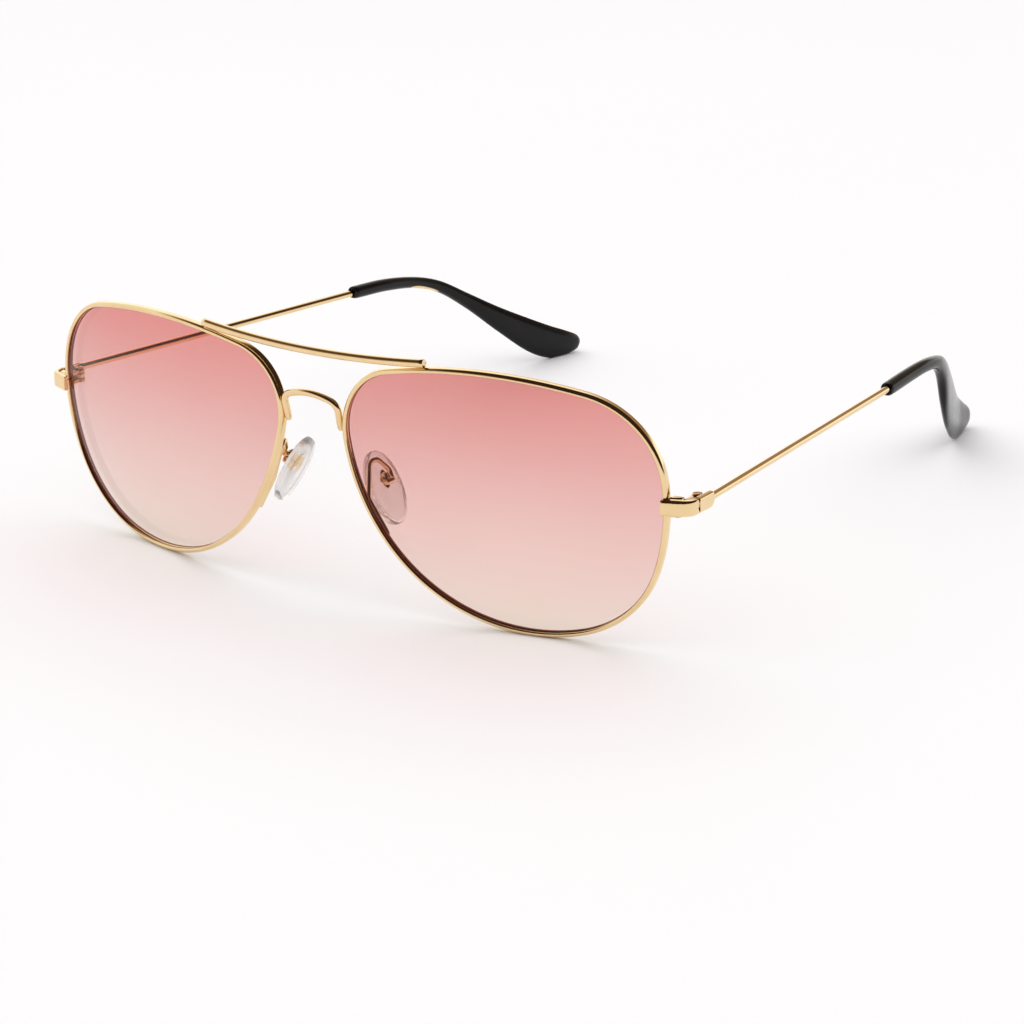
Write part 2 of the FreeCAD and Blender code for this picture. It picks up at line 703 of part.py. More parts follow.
def pad_place(side):
    """Frame of a nose pad about its screw: x away from the nose on the left, y back, z up the pad."""
    turn = (Rotation(Vector(0, 0, 1), -side * size("pad_splay"))
            * Rotation(Vector(0, 1, 0), -side * size("pad_tilt")))
    return Placement(spot(side, size("pad_hinge_x"), size("pad_hinge_y"), size("pad_hinge_z")), turn)


def pad_block(name, side, a_range, b_range, c_range):
    """A block in the pad's frame: a towards the nose, b back, c up."""
    (a0, a1), (b0, b1), (c0, c1) = a_range, b_range, c_range
    low = min(-side * a0, -side * a1)
    return box(name, Vector(low, b0, c0), str(a1 - a0), str(b1 - b0), str(c1 - c0))


def pad_face():
    """Distance from the screw to the pad's outer face, towards the nose."""
    return size("pad_out") - size("pad_thick") / 2


def insert_plate(name, side, gap, proud):
    """The plate in the pad's outer face, grown by gap and standing proud of the face."""
    half_wide = size("insert_wide") / 2 + gap
    half_long = size("insert_long") / 2 + gap
    middle = -size("pad_drop") / 2
    return pad_block(name, side, (pad_face() - proud, pad_face() + size("insert_thick") + gap),
                     (-half_wide, half_wide), (middle - half_long, middle + half_long))


def make_pad_insert(word, side):
    """Plate held in the pad, with a lug and eye that hang on the screw."""
    lug_half, lug_rad = size("lug_wide") / 2, size("lug_rad")
    flat = insert_plate(f"{word}_insert_plate", side, 0.0, 0.0)
    stem = pad_block(f"{word}_insert_stem", side, (0, pad_face() + size("insert_thick")), (-lug_half, lug_half),
                     (-lug_rad, lug_rad))
    eye = cylinder(f"{word}_insert_eye", "2 * Sizes.lug_rad", "Sizes.lug_wide", Vector(0, -lug_half, 0), ALONG_Y)
    blank = fuse(f"{word}_insert_blank", [flat, stem, eye])
    bore = cylinder(f"{word}_insert_bore", "Sizes.pad_pin_dia + 2 * Sizes.pin_bore_play", "Sizes.lug_wide",
                    Vector(0, -lug_half, 0), ALONG_Y)
    piece(cut(f"{word}_insert_cut", blank, bore), f"{word}_pad_insert", pad_place(side))


def make_nose_pad(word, side):
    body = new_body(f"{word}_pad_body")
    centre = Vector(0, -size("pad_drop"), 0)
    oval = Part.Ellipse(centre + Vector(0, size("pad_long") / 2, 0), centre + Vector(size("pad_wide") / 2, 0, 0),
                        centre)
    outline = sketch(body, f"{word}_pad_outline", "YZ_Plane", [oval])
    blank = pad(body, f"{word}_pad_blank", outline, "Sizes.pad_thick", both_ways=True)
    round_body(body, f"{word}_pad_round", blank, "Sizes.pad_round", lambda e: e.BoundBox.XLength < 1e-4)
    body.Placement = Placement(Vector(-side * size("pad_out"), 0, 0), Rotation())
    pocket = insert_plate(f"{word}_pad_pocket", side, size("pocket_gap"), size("pad_thick") / 4)
    piece(cut(f"{word}_pad_pocketed", body, pocket), f"{word}_nose_pad", pad_place(side))


def make_pad_box(word, side):
    """Box open towards the nose and at both ends, that cups the insert's eye."""
    back, front, half, high = size("box_back"), size("box_front"), size("box_wide") / 2, size("box_high") / 2
    blank = pad_block(f"{word}_box_blank", side, (-back, front), (-half, half), (-high, high))
    slot_half = size("box_slot") / 2
    slot = pad_block(f"{word}_box_slot", side, (-back + size("box_floor"), front), (-slot_half, slot_half),
                     (-high, high))
    bore = cylinder(f"{word}_box_bore", "Sizes.pad_pin_dia + 2 * Sizes.seat_gap", "Sizes.box_wide",
                    Vector(0, -half, 0), ALONG_Y)
    piece(cut(f"{word}_box_cut", blank, fuse(f"{word}_box_cutters", [slot, bore])), f"{word}_pad_box",
          pad_place(side))


def make_pad_screw(word, side):
    start = -size("box_wide") / 2 - size("seat_gap")
    shank = cylinder(f"{word}_pad_shank", "Sizes.pad_pin_dia", "Sizes.box_wide + Sizes.seat_gap",
                     Vector(0, start, 0), ALONG_Y)
    head_front = start - size("pad_head_height")
    head = cylinder(f"{word}_pad_head", "Sizes.pad_head_dia", "Sizes.pad_head_height", Vector(0, head_front, 0),
                    ALONG_Y)
    blank = fuse(f"{word}_pad_screw_blank", [shank, head])
    corner = Vector(-size("pad_head_dia"), head_front, -size("pad_slot_width") / 2)
    slot = box(f"{word}_pad_slot", corner, "2 * Sizes.pad_head_dia", "Sizes.pad_slot_depth",
               "Sizes.pad_slot_width")
    piece(cut(f"{word}_pad_screw_cut", blank, slot), f"{word}_pad_screw", pad_place(side))


def make_pad_arm(word, side):
    """Wire brazed up the back of the rim, looped over and back down to the pad box."""
    rad = size("arm_dia") / 2
    behind = size("rim_depth") / 2 + rad + size("seat_gap")
    foot = rim_spot(side, 216, size("arm_out"), behind)
    leave = rim_spot(side, 206, size("arm_out"), behind)
    over = spot(side, size("arm_over_x"), size("arm_over_y"), size("arm_over_z"))
    beside_box = side * (size("box_back") + rad + size("seat_gap"))
    down = pad_place(side).multVec(Vector(beside_box, -0.3, 1.4))
    end = pad_place(side).multVec(Vector(beside_box, -0.3, -0.2))
    path = rounded_path([foot, leave, over, down, end], [size("arm_loop_rad")] * 3)
    piece(coded(f"{word}_pad_arm_wire", swept_round(path, rad)), f"{word}_pad_arm")


# --- assembly --------------------------------------------------------------------------


def check_and_write():
    doc.recompute()
    failed = [o.Name for o in doc.Objects if {"Invalid", "Error"} & set(o.State)]
    failed += [p.Label for p in pieces if p.Shape.isNull() or not p.Shape.isValid() or not p.Shape.Solids]
    if failed:
        raise SystemExit(f"failed objects: {failed}")
    os.makedirs("parts", exist_ok=True)
    for result in pieces:
        result.Shape.exportStep(f"parts/{result.Label}.step")
        print(f"{result.Label}: {result.Shape.Volume:.2f} mm3")
    whole = Part.makeCompound([p.Shape for p in pieces]).BoundBox
    print("box", whole)


fill_sheet()
make_bridge()
make_brow_bar()
for word, side in SIDES.items():
    make_rim(word, side)
    make_lens(word, side)
    make_endpiece(word, side)
    make_lock(word, side)
    make_front_hinge(word, side)
    make_hinge_screw(word, side)
    make_pad_arm(word, side)
    make_pad_box(word, side)
    make_pad_screw(word, side)
    make_nose_pad(word, side)
    make_pad_insert(word, side)
    make_temple_hinge(word, side)
    make_temple_wire(word, side)
    make_temple_tip(word, side)
check_and_write()
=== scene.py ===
import bmesh
import bpy
import cmath
import json
import math

from mathutils import Matrix, Vector


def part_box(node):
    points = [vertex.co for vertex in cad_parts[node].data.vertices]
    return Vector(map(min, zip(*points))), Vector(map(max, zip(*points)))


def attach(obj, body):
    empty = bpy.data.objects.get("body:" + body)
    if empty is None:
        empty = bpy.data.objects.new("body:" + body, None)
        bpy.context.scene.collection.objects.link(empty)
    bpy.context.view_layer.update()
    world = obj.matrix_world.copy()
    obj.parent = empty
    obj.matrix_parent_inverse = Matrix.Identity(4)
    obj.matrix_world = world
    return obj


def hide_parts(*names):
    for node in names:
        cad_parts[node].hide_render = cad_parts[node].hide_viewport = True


# Looks of the wire-framed aviator sunglasses. Lengths here are in millimetres unless a name
# says otherwise, and become metres when a mesh is made. +X is the wearer's left, +Y points
# back along the temples, +Z is up.

MM = 0.001
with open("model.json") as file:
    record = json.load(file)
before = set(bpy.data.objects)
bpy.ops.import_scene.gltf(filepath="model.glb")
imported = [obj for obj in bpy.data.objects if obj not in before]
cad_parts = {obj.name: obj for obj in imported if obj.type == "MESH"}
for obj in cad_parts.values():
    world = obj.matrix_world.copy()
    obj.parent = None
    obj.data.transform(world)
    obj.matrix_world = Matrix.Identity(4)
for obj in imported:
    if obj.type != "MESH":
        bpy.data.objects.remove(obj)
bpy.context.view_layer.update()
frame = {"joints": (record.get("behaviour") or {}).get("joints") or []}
JOINTS = {joint["name"]: joint for joint in frame["joints"]}
SIDES = {"left": 1, "right": -1}

# Lens outline: the direction of its normal at the start of each arc, and the arcs' radii; the
# last two radii are the ones that close it.
ARC_STARTS = (4, 77, 103, 190, 217, 283, 341)
ARC_RADII = (16.9, 82.15, 11.26, 40.56, 34.15)
CORNER_CENTRE = complex(13.6, 4.49)
LENS_CENTRE = (36.06, -1.72, 23.373)
LENS_TILT = 5.0
LENS_WRAP = 9.03
LENS_CURVE = 101.2
RIM_SET = 0.6
LOCK_SPLIT = 26.98
RIM_WIDTH = 0.9
RIM_DEPTH = 1.45
LENS_FRONT = 0.35
LENS_BACK = 1.05


def joint_at(name):
    return Vector(JOINTS[name]["pos_m"]) / MM


# y of the plane that the front's depths are counted from, told by the temple hinge's place.
REFERENCE_Y = joint_at("left_temple_fold").y - 13.9


def spot(side, x, y, z):
    """A place on the given side; y is counted from the front's reference plane."""
    return Vector((side * x, y + REFERENCE_Y, z))


def middle(node):
    low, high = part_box(node)
    return (low + high) / 2 / MM


# --- meshes -------------------------------------------------------------------------------


def mesh_piece(name, verts, faces, sharp=35.0):
    mesh = bpy.data.meshes.new(name)
    mesh.from_pydata([Vector(v) * MM for v in verts], [], faces)
    return finish_mesh(name, mesh, sharp)


def finish_mesh(name, mesh, sharp=35.0):
    work = bmesh.new()
    work.from_mesh(mesh)
    bmesh.ops.recalc_face_normals(work, faces=work.faces)
    work.to_mesh(mesh)
    work.free()
    mesh.shade_smooth()
    mesh.set_sharp_from_angle(angle=math.radians(sharp))
    piece = bpy.data.objects.new(name, mesh)
    bpy.context.scene.collection.objects.link(piece)
    return piece


def place(piece, node, body, material, seat=False):
    """Hand a finished piece its material and body, standing for a CAD node."""
    if seat:
        points = [v.co for v in piece.data.vertices]
        low = Vector([min(p[i] for p in points) for i in range(3)])
        high = Vector([max(p[i] for p in points) for i in range(3)])
        piece.data.transform(Matrix.Translation(middle(node) * MM - (low + high) / 2))
    for one in material if isinstance(material, (list, tuple)) else [material]:
        piece.data.materials.append(one)
    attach(piece, body)
    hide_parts(node)
    return piece


def rings_to_mesh(name, rings, closed, sharp=35.0):
    """Quads between equal rings of points; open rows get flat caps."""
    verts, faces = [], []
    for ring in rings:
        verts.extend(ring)
    n, count = len(rings[0]), len(rings)
    for i in range(count if closed else count - 1):
        a, b = i * n, ((i + 1) % count) * n
        for j in range(n):
            k = (j + 1) % n
            faces.append((a + j, a + k, b + k, b + j))
    if not closed:
        faces.append(tuple(range(n)))
        faces.append(tuple(range((count - 1) * n, count * n)))
    return mesh_piece(name, verts, faces, sharp)


def path_frames(points):
    """A tangent and two cross directions at each point, carried along without twist."""
    tangents = []
    for i in range(len(points)):
        before, after = points[max(i - 1, 0)], points[min(i + 1, len(points) - 1)]
        tangents.append((after - before).normalized())
    across = tangents[0].orthogonal().normalized()
    frames = []
    for tangent in tangents:
        across = (across - tangent * across.dot(tangent)).normalized()
        frames.append((tangent, across, tangent.cross(across)))
    return frames


def tube(name, points, radius, sides=40, round_start=0.12, round_end=0.12):
    """A round wire along the points; radius is a number or a function of the distance from
    the start and from the end. The ends are rounded over the given lengths."""
    frames = path_frames(points)
    lengths = [0.0]
    for a, b in zip(points, points[1:]):
        lengths.append(lengths[-1] + (b - a).length)
    total = lengths[-1]
    rings = []

    def ring(centre, frame_at, r):
        _, u, v = frame_at
        turns = [2 * math.pi * j / sides for j in range(sides)]
        rings.append([centre + (u * math.cos(t) + v * math.sin(t)) * r for t in turns])

    def radius_at(s):
        return radius(s, total - s) if callable(radius) else radius

    steps = (0.0, 0.08, 0.3, 0.62, 1.0)
    for share in steps[:-1]:
        r = radius_at(0.0) - round_start * (1 - math.sin(math.acos(1 - share)))
        ring(points[0] + frames[0][0] * round_start * share, frames[0], r)
    for point, frame_at, s in zip(points, frames, lengths):
        if round_start <= s <= total - round_end:
            ring(point, frame_at, radius_at(s))
    for share in reversed(steps[:-1]):
        r = radius_at(total) - round_end * (1 - math.sin(math.acos(1 - share)))
        ring(points[-1] - frames[-1][0] * round_end * share, frames[-1], r)
    return rings_to_mesh(name, rings, False)


def arc(centre, start, end, steps):
    """Points along the circular arc from start to end about centre, the shorter way."""
    a, b = start - centre, end - centre
    axis = a.cross(b).normalized()
    angle = a.angle(b)
    return [centre + Matrix.Rotation(angle * i / steps, 3, axis) @ a for i in range(steps + 1)]


def straight(start, end, step):
    count = max(1, int((end - start).length / step))
    return [start.lerp(end, i / count) for i in range(count + 1)]


def rounded_path(points, radii, step=1.5):
    """Straight runs between the points, joined by round bends at the inner ones."""
    line = []
    start = points[0]
    for before, corner, after, radius in zip(points, points[1:], points[2:], radii):
        into, out = (corner - before).normalized(), (after - corner).normalized()
        turn = into.angle(out)
        reach = radius * math.tan(turn / 2)
        first, last = corner - into * reach, corner + out * reach
        centre = corner + (out - into).normalized() * (radius / math.cos(turn / 2))
        line += straight(start, first, step)[:-1]
        line += arc(centre, first, last, max(6, int(math.degrees(turn) / 4)))[:-1]
        start = last
    return line + straight(start, points[-1], step)


def rounded_box(name, low, high, radius, matrix=None, segments=3):
    """A block between two corners with all its edges rounded."""
    work = bmesh.new()
    bmesh.ops.create_cube(work, size=1.0)
    low, high = Vector(low), Vector(high)
    for vert in work.verts:
        vert.co = Vector([low[i] if vert.co[i] < 0 else high[i] for i in range(3)])
    bmesh.ops.bevel(work, geom=list(work.edges), offset=radius, segments=segments, profile=0.5,
                    affect="EDGES")
    if matrix is not None:
        work.transform(matrix)
    work.transform(Matrix.Scale(MM, 4))
    mesh = bpy.data.meshes.new(name)
    work.to_mesh(mesh)
    work.free()
    return finish_mesh(name, mesh, 50.0)


def lathe(name, profile, matrix, sides=48, hollow=False):
    """A turned part: (radius, height) points about the matrix's z axis."""
    rings = []
    for radius, height in profile:
        turns = [2 * math.pi * j / sides for j in range(sides)]
        rings.append([matrix @ Vector((radius * math.cos(t), radius * math.sin(t), height)) for t in turns])
    return rings_to_mesh(name, rings, hollow)


def turned(radius, low, high, edge, steps=4):
    """Profile of a solid cylinder with rounded edges."""
    lower = [(radius - edge + edge * math.sin(t), low + edge - edge * math.cos(t))
             for t in [math.pi / 2 * i / steps for i in range(steps + 1)]]
    upper = [(r, high - (h - low)) for r, h in reversed(lower)]
    return [(0.02, low)] + lower + upper + [(0.02, high)]


def ring_profile(outer, inner, low, high, edge, steps=4):
    """Profile of a collar with rounded outer edges and a bore."""
    lower = [(outer - edge + edge * math.sin(t), low + edge - edge * math.cos(t))
             for t in [math.pi / 2 * i / steps for i in range(steps + 1)]]
    upper = [(r, high - (h - low)) for r, h in reversed(lower)]
    return [(inner, low + edge / 2), (inner + edge / 2, low)] + lower + upper + [
        (inner + edge / 2, high), (inner, high - edge / 2)]


def join(name, parts, sharp=40.0):
    """Several meshes as one piece."""
    work = bmesh.new()
    for part in parts:
        work.from_mesh(part.data)
        bpy.data.objects.remove(part)
    mesh = bpy.data.meshes.new(name)
    work.to_mesh(mesh)
    work.free()
    return finish_mesh(name, mesh, sharp)


def carve(piece, cutter):
    """Take the cutter's volume out of a piece."""
    modifier = piece.modifiers.new("carve", "BOOLEAN")
    modifier.operation = "DIFFERENCE"
    modifier.solver = "EXACT"
    modifier.object = cutter
    graph = bpy.context.evaluated_depsgraph_get()
    mesh = bpy.data.meshes.new_from_object(piece.evaluated_get(graph))
    name = piece.name
    bpy.data.objects.remove(piece)
    bpy.data.objects.remove(cutter)
    return finish_mesh(name, mesh, 40.0)


# --- materials ----------------------------------------------------------------------------


class Nodes:
    """A material's node tree, written from left to right."""

    def __init__(self, name):
        self.material = bpy.data.materials.new(name)
        self.material.use_nodes = True
        self.tree = self.material.node_tree
        self.tree.nodes.clear()
        self.output = self.tree.nodes.new("ShaderNodeOutputMaterial")

    def node(self, kind, **values):
        node = self.tree.nodes.new(f"ShaderNode{kind}")
        for key, value in values.items():
            if hasattr(node, key) and key not in node.inputs:
                setattr(node, key, value)
            else:
                node.inputs[key].default_value = value
        return node

    def link(self, source, target):
        self.tree.links.new(source, target)

    def noise(self, scale, detail=3.0, stretch=(1, 1, 1)):
        """Noise in the object's own space; scale is in features per metre."""
        coords = self.node("TexCoord")
        mapping = self.node("Mapping")
        mapping.inputs["Scale"].default_value = stretch
        noise = self.node("TexNoise", Scale=scale, Detail=detail)
        self.link(coords.outputs["Object"], mapping.inputs["Vector"])
        self.link(mapping.outputs["Vector"], noise.inputs["Vector"])
        return noise.outputs["Fac"]

    def ramp(self, factor, stops):
        ramp = self.node("ValToRGB")
        elements = ramp.color_ramp.elements
        while len(elements) < len(stops):
            elements.new(0.5)
        for element, (at, colour) in zip(elements, stops):
            element.position = at
            element.color = (*colour, 1.0) if len(colour) == 3 else colour
        self.link(factor, ramp.inputs["Fac"])
        return ramp.outputs["Color"]

    def spread(self, factor, low, high, from_low=0.3, from_high=0.7):
        spread = self.node("MapRange")
        spread.inputs["From Min"].default_value = from_low
        spread.inputs["From Max"].default_value = from_high
        spread.inputs["To Min"].default_value = low
        spread.inputs["To Max"].default_value = high
        self.link(factor, spread.inputs["Value"])
        return spread.outputs["Result"]

    def bump(self, height, strength, distance):
        bump = self.node("Bump", Strength=strength, Distance=distance)
        self.link(height, bump.inputs["Height"])
        return bump.outputs["Normal"]

    def close(self, shader):
        self.link(shader, self.output.inputs["Surface"])
        return self.material


def gold(name, base=(0.85, 0.635, 0.34), pale=(0.90, 0.695, 0.41), rough=(0.06, 0.13)):
    """Polished pale gold plate: faint tone changes, fine wiping marks and a hint of ripple."""
    n = Nodes(name)
    shader = n.node("BsdfPrincipled", Metallic=1.0)
    tone = n.noise(160.0, 2.0)
    n.link(n.ramp(tone, [(0.3, base), (0.7, pale)]), shader.inputs["Base Color"])
    marks = n.noise(5200.0, 4.0, (1.0, 0.35, 1.0))
    n.link(n.spread(marks, *rough), shader.inputs["Roughness"])
    ripple = n.noise(900.0, 2.0)
    n.link(n.bump(ripple, 0.12, 0.00004), shader.inputs["Normal"])
    return n.close(shader.outputs["BSDF"])


def tinted_glass(name, low_z, high_z, top, mid, bottom):
    """Tinted sheet whose colour fades with height; each of its two faces carries half."""
    n = Nodes(name)
    coords = n.node("TexCoord")
    parts = n.node("SeparateXYZ")
    n.link(coords.outputs["Object"], parts.inputs["Vector"])
    height = n.spread(parts.outputs["Z"], 0.0, 1.0, low_z, high_z)
    cloud = n.spread(n.noise(45.0, 2.0), -0.02, 0.02)
    total = n.node("Math", operation="ADD")
    n.link(height, total.inputs[0])
    n.link(cloud, total.inputs[1])
    tint = n.ramp(total.outputs["Value"], [(0.02, bottom), (0.5, mid), (0.97, top)])
    clear = n.node("BsdfTransparent")
    n.link(tint, clear.inputs["Color"])
    gloss = n.node("BsdfGlossy", Roughness=0.02)
    facing = n.node("LayerWeight", Blend=0.5)
    steep = n.node("Math", operation="POWER")
    n.link(facing.outputs["Facing"], steep.inputs[0])
    steep.inputs[1].default_value = 5.0
    mix = n.node("MixShader")
    n.link(n.spread(steep.outputs["Value"], 0.025, 1.0, 0.0, 1.0), mix.inputs["Fac"])
    n.link(clear.outputs["BSDF"], mix.inputs[1])
    n.link(gloss.outputs["BSDF"], mix.inputs[2])
    return n.close(mix.outputs["Shader"])


def lens_edge_painted_shade(name):
    """Ground edge of the tinted lens, coloured deep wine red as painted shade: it stands for the rim's inner
    wall seen through the tinted glass.
    """
    n = Nodes(name)
    shader = n.node("BsdfPrincipled", Roughness=0.4)
    shader.inputs["Specular IOR Level"].default_value = 0.1
    grind = n.noise(2500.0, 3.0)
    reds = n.ramp(grind, [(0.3, (0.16, 0.018, 0.014)), (0.7, (0.27, 0.045, 0.035))])
    n.link(reds, shader.inputs["Base Color"])
    n.link(n.bump(grind, 0.2, 0.00003), shader.inputs["Normal"])
    return n.close(shader.outputs["BSDF"])


def black_plastic(name):
    """Glossy injection-moulded black, softly orange-peeled."""
    n = Nodes(name)
    shader = n.node("BsdfPrincipled")
    shader.inputs["Specular IOR Level"].default_value = 0.2
    tone = n.noise(220.0, 2.0)
    blacks = n.ramp(tone, [(0.3, (0.004, 0.004, 0.004)), (0.7, (0.008, 0.007, 0.007))])
    n.link(blacks, shader.inputs["Base Color"])
    haze = n.noise(1500.0, 4.0, (1.0, 0.4, 1.0))
    n.link(n.spread(haze, 0.12, 0.2), shader.inputs["Roughness"])
    peel = n.noise(1100.0, 2.0)
    n.link(n.bump(peel, 0.12, 0.00005), shader.inputs["Normal"])
    return n.close(shader.outputs["BSDF"])


def silicone(name):
    """Clear soft silicone, faintly cloudy."""
    n = Nodes(name)
    shader = n.node("BsdfPrincipled", IOR=1.41)
    shader.inputs["Transmission Weight"].default_value = 0.88
    cloud = n.noise(500.0, 3.0)
    whites = n.ramp(cloud, [(0.3, (0.90, 0.89, 0.87)), (0.7, (0.96, 0.955, 0.945))])
    n.link(whites, shader.inputs["Base Color"])
    skin = n.noise(1800.0, 3.0)
    n.link(n.spread(skin, 0.09, 0.16), shader.inputs["Roughness"])
    n.link(n.bump(skin, 0.03, 0.00002), shader.inputs["Normal"])
    return n.close(shader.outputs["BSDF"])


GOLD = gold("polished_gold")
# Painted shade: a darker, browner and rougher copy of the polished gold, put on the screws and hinge leaves
# so that they look as if they lie in shade.
GOLD_PAINTED_SHADE = gold("gold_painted_shade", (0.60, 0.33, 0.12), (0.74, 0.46, 0.20), (0.18, 0.30))
EDGE = lens_edge_painted_shade("lens_edge_painted_shade")
BLACK = black_plastic("black_plastic")
CLEAR = silicone("clear_silicone")
lens_low, lens_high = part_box("left_lens")
TINT = tinted_glass("gradient_tint", lens_low.z, lens_high.z, (0.875, 0.545, 0.525), (0.917, 0.73, 0.71),
                    (0.96, 0.91, 0.86))

# --- lenses and rims ----------------------------------------------------------------------


def outline_arcs():
    """The outline's arcs as (centre, radius, start, end), with the last two radii solved."""
    turns = [math.radians(a) for a in ARC_STARTS]
    turns.append(turns[0] + 2 * math.pi)
    unit = [cmath.exp(1j * t) for t in turns]
    chords = [b - a for a, b in zip(unit, unit[1:])]
    radii = list(ARC_RADII)
    rest = -sum(r * c for r, c in zip(radii, chords))
    p, q = chords[-2:]
    cross = p.real * q.imag - p.imag * q.real
    radii.append((rest.real * q.imag - rest.imag * q.real) / cross)
    radii.append((p.real * rest.imag - p.imag * rest.real) / cross)
    centre = CORNER_CENTRE
    arcs = []
    for i, radius in enumerate(radii):
        if i:
            centre += (radii[i - 1] - radius) * unit[i]
        arcs.append((centre, radius, turns[i], turns[i + 1]))
    return arcs


OUTLINE = outline_arcs()
OUTLINE_LENGTH = sum(radius * (end - start) for _, radius, start, end in OUTLINE)


def outline_at(distance, out):
    """The point of the outline grown by out, that far round from its first arc's start."""
    distance %= OUTLINE_LENGTH
    for centre, radius, start, end in OUTLINE:
        length = radius * (end - start)
        if distance <= length:
            break
        distance -= length
    return centre + (radius + out) * cmath.exp(1j * (start + distance / radius))


def lens_matrix(side):
    """From a lens's own frame, in the plane of its outline, to the row frame."""
    tilt = Matrix.Rotation(math.radians(LENS_TILT), 4, "X")
    wrap = Matrix.Rotation(math.radians(side * LENS_WRAP), 4, "Z")
    return Matrix.Translation(spot(side, *LENS_CENTRE)) @ (tilt @ wrap)


def on_layer(side, p, back):
    """A point of a lens's own frame, back behind its middle surface at the outline point p."""
    radius = LENS_CURVE - back
    depth = LENS_CURVE + RIM_SET - math.sqrt(radius ** 2 - abs(p) ** 2)
    return Vector((side * p.real, depth, p.imag))


def rim_section():
    """Section of the rim as (out, back): full front, softly rounded back, grooved inside."""
    half = RIM_DEPTH / 2
    points = []

    def corner(out, back, radius, first):
        for i in range(7):
            t = math.radians(first + 15 * i)
            points.append((out + radius * math.cos(t), back + radius * math.sin(t)))

    corner(RIM_WIDTH - 0.30, half - 0.30, 0.30, 0)
    corner(0.30, half - 0.30, 0.30, 90)
    points.extend([(0.0, 0.33), (0.34, 0.06), (0.34, -0.06), (0.0, -0.33)])
    corner(0.36, -half + 0.36, 0.36, 180)
    corner(RIM_WIDTH - 0.42, -half + 0.42, 0.42, 270)
    return points


def make_rim(word, side):
    matrix = lens_matrix(side)
    section = rim_section()
    split = LOCK_SPLIT - LENS_CENTRE[2]
    tries = (s * 0.01 for s in range(600))
    zero = min((abs(outline_at(OUTLINE_LENGTH - s, 0.4).imag - split), s) for s in tries)[1]
    count = 420
    usable = OUTLINE_LENGTH - 0.3
    rings = []
    for i in range(count + 1):
        s = OUTLINE_LENGTH - zero + 0.15 + usable * i / count
        rings.append([matrix @ on_layer(side, outline_at(s, out), back) for out, back in section])
    piece = rings_to_mesh(f"{word}_rim_wire", rings, False, sharp=40.0)
    place(piece, f"{word}_rim", "front", GOLD, seat=True)


def make_lens(word, side):
    matrix = lens_matrix(side)
    count, rows = 240, 26
    verts, faces, kinds = [], [], []

    def ring(share, out, back):
        first = len(verts)
        for j in range(count):
            p = outline_at(OUTLINE_LENGTH * j / count, out) * share
            verts.append(matrix @ on_layer(side, p, back))
        return first

    def strip(a, b, kind):
        for j in range(count):
            k = (j + 1) % count
            faces.append((a + j, a + k, b + k, b + j))
            kinds.append(kind)

    shares = [math.sin(math.pi / 2 * i / rows) for i in range(1, rows + 1)]
    front = [ring(share, -0.06, -LENS_FRONT) for share in shares]
    back = [ring(share, -0.42, LENS_BACK) for share in shares]
    for surface in (front, back):
        for a, b in zip(surface, surface[1:]):
            strip(a, b, 0)
        faces.append(tuple(range(surface[0], surface[0] + count)))
        kinds.append(0)
    # The edge rows carry the wine red painted shade; only the last strip, onto the back face, takes the tint.
    rows_between = [front[-1], ring(1.0, -0.04, -0.28), ring(1.0, 0.28, -0.05), ring(1.0, 0.28, 0.05),
                    ring(1.0, -0.04, 0.28), ring(1.0, -0.04, 0.62), back[-1]]
    for a, b in zip(rows_between, rows_between[1:]):
        strip(a, b, 0 if b == back[-1] else 1)
    piece = mesh_piece(f"{word}_lens_sheet", verts, faces, sharp=30.0)
    place(piece, f"{word}_lens", "front", [TINT, EDGE], seat=True)
    for polygon, kind in zip(piece.data.polygons, kinds):
        polygon.material_index = kind


# --- bridge and brow bar ------------------------------------------------------------------


def make_bridge():
    lean, arch, shoulder, top = math.radians(1.5), 13.0, 2.0, 3.65
    sweep = math.asin((5.79 - shoulder) / (arch - shoulder))
    reach = arch - shoulder
    centre = Vector((reach * math.sin(sweep), 0, top - arch + reach * math.cos(sweep)))

    def on_shoulder(angle):
        return centre + Vector((math.sin(angle), 0, math.cos(angle))) * shoulder

    leg_top, crown = on_shoulder(math.pi / 2 + lean), on_shoulder(sweep)
    leg_end = leg_top - Vector((math.sin(lean), 0, math.cos(lean))) * 3.6
    half = straight(leg_end, leg_top, 0.4)[:-1] + arc(centre, leg_top, crown, 16)[:-1]
    half += arc(Vector((0, 0, top - arch)), crown, Vector((0, 0, top)), 14)
    line = half + [Vector((-p.x, p.y, p.z)) for p in reversed(half[:-1])]
    matrix = Matrix.Translation(spot(1, 0, -2.2, 35.08)) @ Matrix.Rotation(math.radians(14.0), 4, "X")

    def radius(from_start, from_end):
        near = min(from_start, from_end)
        return 0.625 - 0.16 * max(0.0, 1 - near / 1.4) ** 2

    piece = tube("bridge_wire", [matrix @ p for p in line], radius, round_start=0.2, round_end=0.2)
    place(piece, "bridge", "front", GOLD)


def make_brow_bar():
    ends = [spot(side, 23.9, -2.0, 47.46) for side in (1, -1)]
    top = spot(1, 0, -3.1, 46.35)
    chord = (ends[0] + ends[1]) / 2
    rise = (top - chord).length
    half = (ends[0] - chord).length
    radius = (half ** 2 + rise ** 2) / (2 * rise)
    centre = top + (chord - top).normalized() * radius
    piece = tube("brow_bar_wire", arc(centre, ends[0], ends[1], 64), 0.75, sides=48, round_start=0.08,
                 round_end=0.08)
    place(piece, "brow_bar", "front", GOLD, seat=True)


# --- endpieces, locks and hinges ----------------------------------------------------------

# Side outline of the seam between endpiece and butt plate: (height share, how far back).
SEAM = ((0.0, 0.0), (0.16, 0.02), (0.3, 0.34), (0.44, 0.30),
        (0.56, -0.12), (0.7, -0.22), (0.86, 0.05), (1.0, 0.0))
SEAM_GAP = 0.14
